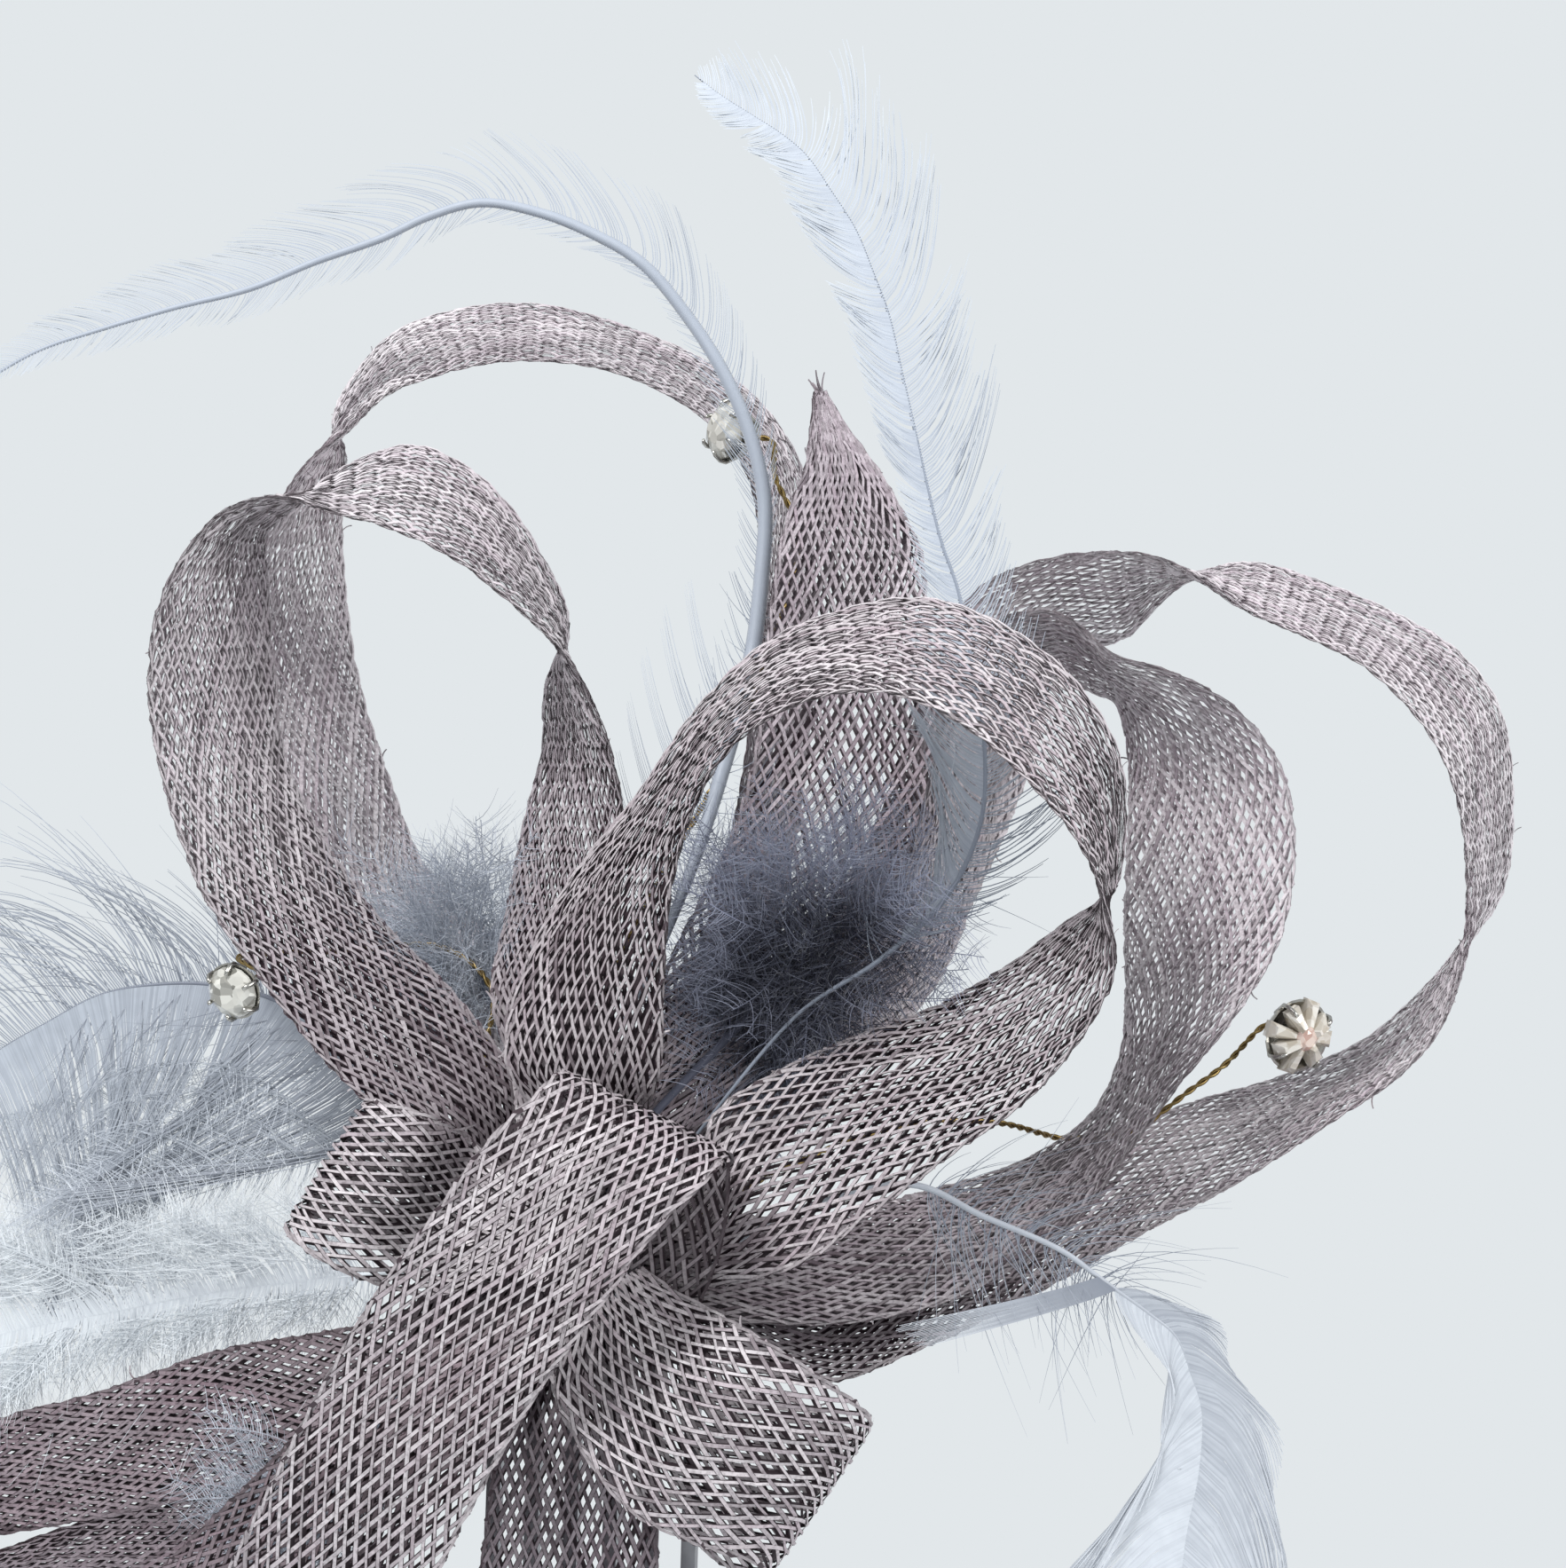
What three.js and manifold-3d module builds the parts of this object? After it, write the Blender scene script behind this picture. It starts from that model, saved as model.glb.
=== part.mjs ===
import * as THREE from 'three';
import Module from 'manifold-3d';

// A headpiece of woven straw strips, looped and folded round one short post on a comb,
// with feathers, fluff and stones on wire between the loops. Millimetres, +Z up, front at -Y.
// The origin is the seat, where the comb's back lies on the round that it is worn on.

const wasm = await Module();
wasm.setup();

// Driving sizes. reach is how far the loops go from the seat; the tables below hold shares of it
const reach = 100;
const stripWidth = 24;
const stripThick = 1.0;
const layerGap = 0.3;
const clearance = 0.3;
const postRadius = 6;
const layerCount = 10;
const combLength = 24;
const combHeight = 9;
const combThick = 2.5;
const toothCount = 6;
const toothLength = 30;
const toothThick = 1.6;
const toothLean = 17;
const quillRadius = 0.5;
const wireRadius = 0.5;
const roundStone = 6;
const flowerStone = 8;
const settingFoot = 0.9;

// The seat: outward direction, and the two directions that lie in its plane
const seatOut = new THREE.Vector3(-0.165, -0.894, 0.417).normalize();
const seatUp = new THREE.Vector3(0, 0, 1).projectOnPlane(seatOut).normalize();
const seatRight = new THREE.Vector3().crossVectors(seatUp, seatOut);
const layerPitch = stripThick + layerGap;
const firstLayer = combThick + layerGap + stripThick / 2;
const postTop = firstLayer + (layerCount - 1) * layerPitch - stripThick / 2 - clearance;

const radians = (degrees) => THREE.MathUtils.degToRad(degrees);

// A unit direction from its angle in the picture plane and its angle away from that plane
function direction(turn, tip) {
  const flat = Math.cos(radians(tip));
  return new THREE.Vector3(flat * Math.cos(radians(turn)), Math.sin(radians(tip)), flat * Math.sin(radians(turn)));
}

// A direction in the seat's plane, turned from the seat's right towards its up
function seatDirection(turn) {
  return seatRight.clone().multiplyScalar(Math.cos(radians(turn))).addScaledVector(seatUp, Math.sin(radians(turn)));
}

// A point in one of the post's layers, at a distance from the post's axis
function seatPoint(layer, turn, out) {
  const height = firstLayer + (layer - 1) * layerPitch;
  return seatOut.clone().multiplyScalar(height).addScaledVector(seatDirection(turn), out);
}

// The gathered end of a strip on the post, from the end outwards
function stripSeat(seat, towards) {
  const wide = new THREE.Vector3().crossVectors(seatOut, seatDirection(seat.turn));
  if (wide.dot(towards) < 0) wide.negate();
  const reaches = seat.reaches ?? [postRadius + clearance, postRadius + 4.5, postRadius + 8];
  const widths = seat.widths ?? [0.42, 0.46, 0.5];
  return reaches.map((out, i) => ({
    at: seatPoint(seat.layer, seat.turn, out),
    half: wide.clone().multiplyScalar(stripWidth * widths[i] / 2),
  }));
}

// Rows of a strip: its middle as shares of its own reach, its edge direction and its width share
function stripRows(strip) {
  const rows = strip.rows.map(([across, up, back, turn, tip, width]) => ({
    at: new THREE.Vector3(across * strip.side, back * strip.depth, up * strip.rise).multiplyScalar(reach),
    half: direction(turn, tip).multiplyScalar(stripWidth * width / 2),
  }));
  const first = strip.from ? stripSeat(strip.from, rows[0].half) : [];
  const last = strip.to ? stripSeat(strip.to, rows[rows.length - 1].half).reverse() : [];
  return [...first, ...rows, ...last];
}

// A smooth run through rows that hold vectors, with more steps where it is long or turns
function smoothRun(rows, keys, stepLength, stepTurn) {
  const knots = [0];
  for (let i = 1; i < rows.length; i += 1) {
    knots.push(knots[i - 1] + Math.sqrt(rows[i].at.distanceTo(rows[i - 1].at)));
  }
  const slope = (key, i) => {
    const before = Math.max(i - 1, 0);
    const after = Math.min(i + 1, rows.length - 1);
    const change = (a, b) => rows[b][key].clone().sub(rows[a][key]).divideScalar(knots[b] - knots[a]);
    if (before === i) return change(i, after);
    if (after === i) return change(before, i);
    const mix = (knots[i] - knots[before]) / (knots[after] - knots[before]);
    return change(before, i).multiplyScalar(1 - mix).addScaledVector(change(i, after), mix);
  };
  const run = [];
  for (let i = 0; i < rows.length - 1; i += 1) {
    const span = knots[i + 1] - knots[i];
    const heading = (j) => slope('at', j).normalize();
    const turned = Math.max(heading(i).angleTo(heading(i + 1)), rows[i].half.angleTo(rows[i + 1].half));
    const length = rows[i].at.distanceTo(rows[i + 1].at);
    const steps = Math.max(1, Math.ceil(length / stepLength), Math.ceil(turned / radians(stepTurn)));
    const last = i === rows.length - 2 ? steps : steps - 1;
    for (let step = 0; step <= last; step += 1) {
      const t = step / steps;
      const row = {};
      for (const key of keys) {
        const value = rows[i][key].clone().multiplyScalar(2 * t ** 3 - 3 * t ** 2 + 1);
        value.addScaledVector(slope(key, i), span * (t ** 3 - 2 * t ** 2 + t));
        value.addScaledVector(rows[i + 1][key], 3 * t ** 2 - 2 * t ** 3);
        value.addScaledVector(slope(key, i + 1), span * (t ** 3 - t ** 2));
        row[key] = value;
      }
      run.push(row);
    }
  }
  return run;
}

function headings(run) {
  return run.map((row, i) => {
    const before = run[Math.max(i - 1, 0)].at;
    const after = run[Math.min(i + 1, run.length - 1)].at;
    return after.clone().sub(before).normalize();
  });
}

// A closed body through rings of the same number of corners, capped at both ends
function skin(rings) {
  const sides = rings[0].length;
  const corners = rings.flat();
  const faces = [];
  for (let ring = 0; ring < rings.length - 1; ring += 1) {
    for (let side = 0; side < sides; side += 1) {
      const a = ring * sides + side;
      const b = ring * sides + (side + 1) % sides;
      faces.push([a, b, b + sides], [a, b + sides, a + sides]);
    }
  }
  const top = (rings.length - 1) * sides;
  for (let side = 1; side < sides - 1; side += 1) {
    faces.push([0, side + 1, side], [top, top + side, top + side + 1]);
  }
  let volume = 0;
  for (const [a, b, c] of faces) {
    volume += corners[a].dot(corners[b].clone().cross(corners[c]));
  }
  if (volume < 0) faces.forEach((face) => face.reverse());
  const geometry = new THREE.BufferGeometry();
  geometry.setAttribute('position', new THREE.Float32BufferAttribute(corners.flatMap((p) => [p.x, p.y, p.z]), 3));
  geometry.setIndex(faces.flat());
  return geometry;
}

function solidOf(geometry) {
  const vertProperties = new Float32Array(geometry.getAttribute('position').array);
  const triVerts = new Uint32Array(geometry.getIndex().array);
  return new wasm.Manifold(new wasm.Mesh({ numProp: 3, vertProperties, triVerts }));
}

// Several closed bodies joined into one
function joined(geometries) {
  let whole = solidOf(geometries[0]);
  for (const geometry of geometries.slice(1)) whole = whole.add(solidOf(geometry));
  const mesh = whole.getMesh();
  const geometry = new THREE.BufferGeometry();
  geometry.setAttribute('position', new THREE.Float32BufferAttribute(mesh.vertProperties, 3));
  geometry.setIndex(Array.from(mesh.triVerts));
  return geometry;
}

function stripBody(strip) {
  const run = smoothRun(stripRows(strip), ['at', 'half'], 7, 24);
  const ways = headings(run);
  return skin(run.map(({ at, half }, i) => {
    const through = ways[i].clone().cross(half).normalize().multiplyScalar(stripThick / 2);
    return [
      at.clone().sub(half).sub(through), at.clone().add(half).sub(through),
      at.clone().add(half).add(through), at.clone().sub(half).add(through),
    ];
  }));
}

// A round run through points, with a radius at each
function rodBody(points, radii, sides, stepLength) {
  const rows = points.map((at, i) => ({ at, half: new THREE.Vector3(radii[i] ?? radii[0], 0, 0) }));
  const run = smoothRun(rows, ['at', 'half'], stepLength, 30);
  const ways = headings(run);
  let side = new THREE.Vector3(0.31, 0.87, 0.39);
  return skin(run.map(({ at, half }, i) => {
    side = side.clone().projectOnPlane(ways[i]).normalize();
    const across = ways[i].clone().cross(side);
    return Array.from({ length: sides }, (_, k) => {
      const angle = 2 * Math.PI * k / sides;
      return at.clone().addScaledVector(side, half.x * Math.cos(angle)).addScaledVector(across, half.x * Math.sin(angle));
    });
  }));
}

// Points from a table of shares of a piece's own side, rise and depth
function placed(piece) {
  return piece.rows.map(([across, up, back]) => new THREE.Vector3(
    across * piece.side, back * piece.depth, up * piece.rise).multiplyScalar(reach));
}

// A feather: a ridge along its shaft, a vane on each side, and edges cut into locks of barbs
function featherBody(feather) {
  const start = seatPoint(feather.from.layer, feather.from.turn, postRadius + clearance + quillRadius);
  const quill = [start, seatPoint(feather.from.layer, feather.from.turn, postRadius + 5)].map((at) => ({
    at, half: new THREE.Vector3(quillRadius, quillRadius, 0),
  }));
  const full = feather.vane * reach;
  const vane = placed(feather).map((at, i) => ({
    at,
    half: new THREE.Vector3(
      Math.max(quillRadius, feather.rows[i][3] * full),
      Math.max(quillRadius, feather.rows[i][4] * full), feather.rows[i][5]),
  }));
  const run = smoothRun([...quill, ...vane], ['at', 'half'], 5, 40);
  const ways = headings(run);
  return skin(run.map(({ at, half }, i) => {
    const facing = new THREE.Vector3(0, -1, 0).projectOnPlane(ways[i]).normalize();
    facing.applyAxisAngle(ways[i], radians(half.z));
    const right = ways[i].clone().cross(facing);
    const lock = i % 2 ? 0.74 : 1;
    const edge = (width, sign, face) => {
      const wide = Math.max(quillRadius, width * (width > 1.5 ? lock : 1));
      const swept = width > 1.5 ? 0.35 * width : 0;
      return at.clone().addScaledVector(right, sign * wide).addScaledVector(ways[i], swept)
        .addScaledVector(facing, face * 0.22);
    };
    return [
      at.clone().addScaledVector(facing, quillRadius), edge(half.y, 1, 1), edge(half.y, 1, -1),
      at.clone().addScaledVector(facing, -quillRadius), edge(half.x, -1, -1), edge(half.x, -1, 1),
    ];
  }));
}

// Fluff: curved tapering locks fanned from a core, joined to the stem that holds it
function fluffBody(fluff) {
  const core = new THREE.Vector3(fluff.core.across, fluff.core.back, fluff.core.up).multiplyScalar(reach);
  const size = fluff.core.size * reach;
  const way = (fluff.by ?? []).map((point) => new THREE.Vector3(...point).multiplyScalar(reach));
  const stemStart = seatPoint(fluff.from.layer, fluff.from.turn, postRadius + clearance + quillRadius);
  const stemNext = seatPoint(fluff.from.layer, fluff.from.turn, postRadius + 4);
  const stem = rodBody([stemStart, stemNext, ...way, core], [quillRadius], 6, 8);
  const heart = new THREE.IcosahedronGeometry(1, 0);
  const bodies = [stem];
  for (const { count, turnFrom, turnTo, tip, length, thick, curl } of fluff.fans) {
    const long = length * reach;
    const broad = thick * reach;
    for (let i = 0; i < count; i += 1) {
      const share = count > 1 ? i / (count - 1) : 0.5;
      const wave = Math.sin(7.3 * i + count);
      const out = direction(turnFrom + (turnTo - turnFrom) * share, tip + 9 * wave);
      const bend = direction(turnFrom + (turnTo - turnFrom) * share + 90, 0).multiplyScalar(curl * long);
      const lock = long * (0.86 + 0.14 * wave);
      const root = core.clone().addScaledVector(out, -size * 0.3);
      const middle = core.clone().addScaledVector(out, lock * 0.55).addScaledVector(bend, 0.3);
      const end = core.clone().addScaledVector(out, lock).add(bend);
      bodies.push(rodBody([root, middle, end], [broad * 0.8, broad, 0.25], 5, lock * 0.4));
    }
  }
  heart.scale(size, size * fluff.core.flat, size);
  heart.translate(core.x, core.y, core.z);
  const lumps = skinOfSphere(heart);
  return joined([lumps, ...bodies]);
}

// The same ball with its shared corners merged
function skinOfSphere(ball) {
  const source = ball.getAttribute('position');
  const corners = [];
  const index = [];
  for (let i = 0; i < source.count; i += 1) {
    const corner = new THREE.Vector3().fromBufferAttribute(source, i);
    let found = corners.findIndex((known) => known.distanceTo(corner) < 1e-4);
    if (found < 0) found = corners.push(corner) - 1;
    index.push(found);
  }
  const geometry = new THREE.BufferGeometry();
  geometry.setAttribute('position', new THREE.Float32BufferAttribute(corners.flatMap((p) => [p.x, p.y, p.z]), 3));
  geometry.setIndex(index);
  return geometry;
}

// Rings of points round an axis, from a table of distance along it and radius
function turnedBody(centre, axis, profile, sides, twist) {
  const side = new THREE.Vector3(0.2, 0.1, 0.97).projectOnPlane(axis).normalize();
  const across = axis.clone().cross(side);
  return skin(profile.map(([along, radius], ring) => Array.from({ length: sides }, (_, k) => {
    const angle = 2 * Math.PI * (k + (ring % 2) * twist) / sides;
    return centre.clone().addScaledVector(axis, along)
      .addScaledVector(side, radius * Math.cos(angle)).addScaledVector(across, radius * Math.sin(angle));
  })));
}

function stonePlace(spray) {
  return new THREE.Vector3(...spray.at).multiplyScalar(reach);
}

// A cut stone: flat table, crown, girdle and a pavilion that ends in a small flat
function stoneBody(spray) {
  const radius = spray.stone / 2;
  return turnedBody(stonePlace(spray), spray.facing, [
    [radius * 0.45, radius * 0.55], [radius * 0.05, radius], [-radius * 0.05, radius], [-radius * 0.75, radius * 0.15],
  ], 8, 0);
}

// A plain setting: a cup behind the girdle, with a gap to the stone, and a base for the wire
function settingBody(spray) {
  const radius = spray.stone / 2;
  const rim = -radius * 0.05 - clearance;
  const foot = -radius * 0.75 - clearance;
  const outer = turnedBody(stonePlace(spray), spray.facing, [
    [rim, radius * 1.08], [foot, radius * 0.62], [foot - settingFoot, radius * 0.4],
  ], 8, 0);
  const hollow = turnedBody(stonePlace(spray), spray.facing, [
    [rim + 1, radius], [rim, radius], [foot, radius * 0.15],
  ], 8, 0);
  const mesh = solidOf(outer).subtract(solidOf(hollow)).getMesh();
  const geometry = new THREE.BufferGeometry();
  geometry.setAttribute('position', new THREE.Float32BufferAttribute(mesh.vertProperties, 3));
  geometry.setIndex(Array.from(mesh.triVerts));
  return geometry;
}

// The wire from the post to the base of the setting
function wireBody(spray) {
  const start = seatPoint(spray.from.layer, spray.from.turn, postRadius + clearance + wireRadius);
  const next = seatPoint(spray.from.layer, spray.from.turn, postRadius + 4);
  const base = -spray.stone / 2 * 0.75 - settingFoot - 2 * clearance;
  const end = stonePlace(spray).addScaledVector(spray.facing, base);
  const behind = stonePlace(spray).addScaledVector(spray.facing, base - 2.5);
  return rodBody([start, next, ...placed(spray), behind, end], [wireRadius], 6, 7);
}

// The comb: a bar across the seat, teeth that lean into the round, and the post
function combBody() {
  const frame = new THREE.Matrix4().makeBasis(seatRight, seatUp, seatOut);
  const bar = new THREE.BoxGeometry(combLength, combHeight, combThick);
  bar.translate(0, 0, combThick / 2);
  const bodies = [bar];
  const toothPitch = (combLength - toothThick) / (toothCount - 1);
  for (let i = 0; i < toothCount; i += 1) {
    const tooth = new THREE.BoxGeometry(toothThick, toothLength, toothThick);
    tooth.translate(0, -toothLength / 2, 0);
    tooth.rotateX(radians(toothLean));
    tooth.translate((i - (toothCount - 1) / 2) * toothPitch, 1 - combHeight / 2, combThick / 2);
    bodies.push(tooth);
  }
  const post = new THREE.CylinderGeometry(postRadius, postRadius, postTop - combThick / 2, 24);
  post.rotateX(Math.PI / 2);
  post.translate(0, 0, (postTop + combThick / 2) / 2);
  bodies.push(post);
  return joined(bodies.map((body) => {
    body.applyMatrix4(frame);
    return skinOfSphere(body.index ? body.toNonIndexed() : body);
  }));
}

// Strips. Each row: across, up and back as shares of the strip's own side, rise and depth,
// then the turn and tip of its edge direction in degrees, and its width as a share
const strips = [
  {
    name: 'loop_back_left', side: 0.4, rise: 1.12, depth: 0.47,
    from: { layer: 3, turn: 86, widths: [0.42, 0.42, 0.42] }, to: { layer: 2, turn: 122 },
    rows: [
      [0.09, 0.195, 0.17, 5, 40, 0.5],
      [0.31, 0.28, 0.38, 7, 62, 0.8],
      [0.44, 0.425, 0.6, 12, 67, 0.9],
      [0.5, 0.57, 0.73, 12, 72, 1],
      [0.52, 0.72, 0.85, 18, 73, 1],
      [0.485, 0.84, 0.935, 33, 72, 1],
      [0.325, 0.92, 0.98, 61, 71, 1],
      [0.005, 0.98, 1, 89, 70, 1],
      [-0.33, 1, 1, 100, 66, 1],
      [-0.63, 0.975, 0.955, 124, 65, 1],
      [-0.77, 0.937, 0.915, 139, 71, 1],
      [-0.855, 0.89, 0.87, 141, 77, 1],
      [-0.89, 0.853, 0.83, 57, 81, 1],
      [-0.95, 0.785, 0.79, 23, 73, 1],
      [-0.995, 0.7, 0.785, 14, 61, 1],
      [-0.98, 0.6, 0.765, 11, 54, 1],
      [-0.88, 0.49, 0.72, 12, 54, 1],
      [-0.74, 0.39, 0.66, 18, 54, 0.9],
      [-0.505, 0.3, 0.51, 27, 45, 0.8],
    ],
  },
  {
    name: 'loop_left', side: 0.45, rise: 0.9, depth: 0.125,
    from: { layer: 4, turn: 140 }, to: { layer: 8, turn: 100 },
    rows: [
      [-0.355, 0.22, -0.29, 30, 29, 0.65],
      [-0.53, 0.315, -0.08, 31, 39, 0.8],
      [-0.715, 0.415, 0.16, 26, 55, 0.95],
      [-0.865, 0.52, 0.32, 24, 58, 1],
      [-0.97, 0.65, 0.48, 8, 61, 1],
      [-1, 0.765, 0.56, 6, 61, 1],
      [-0.99, 0.88, 0.68, 13, 69, 1],
      [-0.93, 0.95, 0.72, -12, 84, 1],
      [-0.82, 0.98, 0.76, 116, 88, 1],
      [-0.68, 0.995, 0.8, 104, 72, 1],
      [-0.525, 1, 0.8, 86, 62, 1],
      [-0.35, 0.957, 0.84, 78, 64, 1],
      [-0.205, 0.88, 0.88, 73, 73, 1],
      [-0.12, 0.81, 0.96, 86, 83, 1],
      [-0.115, 0.75, 1, 177, 77, 1],
      [-0.085, 0.665, 1, 181, 68, 1],
      [-0.09, 0.565, 0.88, 181, 52, 0.85],
      [-0.115, 0.455, 0.6, 181, 44, 0.78],
      [-0.13, 0.34, 0, 177, 25, 0.65],
      [-0.1, 0.265, -0.17, 177, 25, 0.56],
    ],
  },
  {
    name: 'loop_front', side: 0.56, rise: 0.71, depth: 0.14,
    from: { layer: 9, turn: 90 }, to: { layer: 8, turn: 5 },
    rows: [
      [-0.035, 0.34, -0.62, 177, 20, 0.78],
      [-0.015, 0.485, -0.5, 177, 37, 0.85],
      [0.04, 0.63, -0.535, 177, 54, 0.85],
      [0.135, 0.765, -0.68, 171, 70, 0.85],
      [0.23, 0.875, -0.785, 138, 74, 0.95],
      [0.355, 0.955, -0.855, 113, 70, 1],
      [0.485, 0.99, -0.93, 96, 66, 1],
      [0.62, 0.995, -0.965, 80, 60, 1],
      [0.76, 0.95, -0.965, 69, 57, 1],
      [0.89, 0.865, -0.93, 59, 57, 1],
      [0.975, 0.77, -0.855, 50, 63, 1],
      [1, 0.695, -0.785, 39, 72, 1],
      [1, 0.62, -0.75, -1, 82, 1],
      [0.965, 0.54, -0.715, 140, 78, 1],
      [0.885, 0.46, -0.715, 149, 67, 1],
      [0.75, 0.37, -0.75, 139, 57, 1],
      [0.6, 0.305, -0.785, 131, 50, 1],
      [0.45, 0.235, -0.855, 124, 34, 0.9],
      [0.3, 0.155, -0.965, 121, 28, 0.85],
    ],
  },
  {
    name: 'loop_right', side: 0.7, rise: 0.71, depth: 0.18,
    from: { layer: 5, turn: 42, widths: [0.42, 0.4, 0.38] }, to: { layer: 2, turn: 0 },
    rows: [
      [0.32, 0.33, 0.44, -30, 22, 0.5],
      [0.5, 0.5, 0.83, -28, 50, 0.6],
      [0.567, 0.68, 0.86, -25, 52, 0.62],
      [0.607, 0.83, 0.83, -28, 55, 0.7],
      [0.645, 0.94, 0.93, -38, 54, 0.8],
      [0.695, 0.995, 0.945, -51, 61, 0.9],
      [0.755, 1.005, 0.86, -65, 69, 1],
      [0.805, 0.98, 0.805, -65, 72, 1],
      [0.835, 0.957, 0.75, -62, 76, 1],
      [0.89, 0.92, 0.72, -116, 73, 1],
      [0.945, 0.86, 0.72, -143, 59, 1],
      [0.985, 0.775, 0.72, -161, 45, 1],
      [0.995, 0.655, 0.72, -171, 40, 1],
      [0.98, 0.53, 0.695, -178, 47, 1],
      [0.945, 0.425, 0.64, -184, 63, 1],
      [0.89, 0.32, 0.52, -198, 78, 1],
      [0.825, 0.225, 0.39, -206, 82, 1],
      [0.72, 0.135, 0.22, -221, 72, 0.9],
      [0.565, 0.065, -0.055, -242, 54, 0.75],
      [0.37, 0.025, -0.36, -255, 39, 0.6],
    ],
  },
  {
    name: 'loop_outer_right', side: 1.05, rise: 0.81, depth: 0.33,
    from: { layer: 4, turn: 54, widths: [0.42, 0.4, 0.38] }, to: { layer: 1, turn: -14 },
    rows: [
      [0.18, 0.25, 0.27, -35, 14, 0.45],
      [0.295, 0.43, 0.64, -33, 14, 0.6],
      [0.37, 0.615, 0.8, -26, 18, 0.65],
      [0.42, 0.78, 0.9, -26, 28, 0.72],
      [0.46, 0.915, 0.94, -39, 50, 0.9],
      [0.51, 0.95, 0.94, -57, 60, 1],
      [0.578, 0.968, 0.94, -65, 65, 1],
      [0.622, 0.99, 0.94, -57, 77, 1],
      [0.66, 0.997, 0.94, 12, 84, 1],
      [0.72, 0.985, 0.955, 61, 72, 1],
      [0.8, 0.95, 0.97, 59, 68, 1],
      [0.88, 0.903, 0.985, 45, 65, 1],
      [0.947, 0.838, 1, 42, 60, 1],
      [0.988, 0.76, 1, 35, 59, 1],
      [1.004, 0.643, 0.97, 20, 64, 1],
      [0.998, 0.523, 0.94, -1, 70, 1],
      [0.97, 0.438, 0.91, -6, 82, 1],
      [0.93, 0.355, 0.848, 69, 85, 1],
      [0.876, 0.289, 0.788, 112, 84, 1],
      [0.78, 0.227, 0.667, 129, 79, 1],
      [0.68, 0.173, 0.545, 110, 71, 1],
      [0.565, 0.116, 0.394, 113, 64, 0.95],
      [0.44, 0.047, 0.182, 116, 58, 0.9],
      [0.316, -0.016, -0.03, 115, 51, 0.8],
      [0.212, -0.053, -0.12, 105, 32, 0.65],
    ],
  },
  {
    name: 'tail_peak', side: 0.28, rise: 1.02, depth: 0.19,
    from: { layer: 6, turn: 75 },
    rows: [
      [0.34, 0.235, -0.08, -10, 14, 0.65],
      [0.64, 0.357, 0.4, -8, 4, 0.82],
      [0.91, 0.486, 0.74, -4, 12, 0.95],
      [0.995, 0.606, 0.947, -2, 23, 0.95],
      [1, 0.732, 1, 4, 28, 0.9],
      [1.01, 0.805, 1, 3, 31, 0.85],
      [0.987, 0.858, 1, 2, 23, 0.62],
      [0.97, 0.908, 1, 1, 25, 0.4],
      [0.913, 0.96, 1, -1, 26, 0.18],
      [0.874, 1, 1, 6, 45, 0.05],
    ],
  },
  {
    name: 'knot_fold_front', side: 0.33, rise: 0.38, depth: 0.28,
    from: { layer: 10, turn: 55, reaches: [-7, -2, 3, 8], widths: [0.5, 0.5, 0.6, 0.72] },
    rows: [
      [0.155, 0.45, -0.465, -20, -12, 0.86],
      [0.165, 0.525, -0.62, -25, -12, 0.86],
      [0.14, 0.52, -0.8, -28, -8, 0.86],
      [0.09, 0.475, -0.91, -28, -5, 0.86],
      [-0.05, 0.36, -0.98, -26, 0, 0.86],
      [-0.235, 0.145, -1, -27, 0, 0.86],
      [-0.43, -0.09, -0.965, -25, 0, 0.86],
      [-0.65, -0.42, -0.875, -24, 0, 0.86],
      [-0.84, -0.74, -0.75, -24, 0, 0.86],
      [-1, -1.01, -0.61, -25, 0, 0.86],
    ],
  },
  {
    name: 'knot_fold_left', side: 0.3, rise: 0.14, depth: 0.152,
    from: { layer: 9, turn: 172, widths: [0.42, 0.55, 0.75] }, to: { layer: 6, turn: 172, widths: [0.42, 0.44, 0.46] },
    rows: [
      [-0.76, 0.78, -0.95, -119, -14, 0.82],
      [-0.94, 0.94, -0.86, -122, -10, 0.76],
      [-1, 1, -0.75, -122, -8, 0.7],
      [-0.94, 0.94, -0.63, -122, -6, 0.62],
      [-0.76, 0.75, -0.6, -119, -5, 0.52],
    ],
  },
  {
    name: 'loop_lower_right', side: 0.24, rise: 0.25, depth: 0.22,
    from: { layer: 9, turn: 300, widths: [0.42, 0.6, 0.8] },
    to: { layer: 6, turn: 305, widths: [0.42, 0.48, 0.55] },
    rows: [
      [0.42, -0.49, -1.02, -131, -6, 0.97],
      [0.745, -0.69, -0.955, -130, -3, 0.95],
      [0.995, -0.845, -0.795, -126, 0, 0.85],
      [0.965, -0.94, -0.66, -124, 0, 0.85],
      [0.715, -0.8, -0.635, -126, -5, 0.82],
      [0.39, -0.58, -0.7, -128, -14, 0.7],
    ],
  },
  {
    name: 'loop_side_left', side: 0.84, rise: 0.39, depth: 0.2,
    from: { layer: 2, turn: 200 }, to: { layer: 1, turn: 222 },
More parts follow.
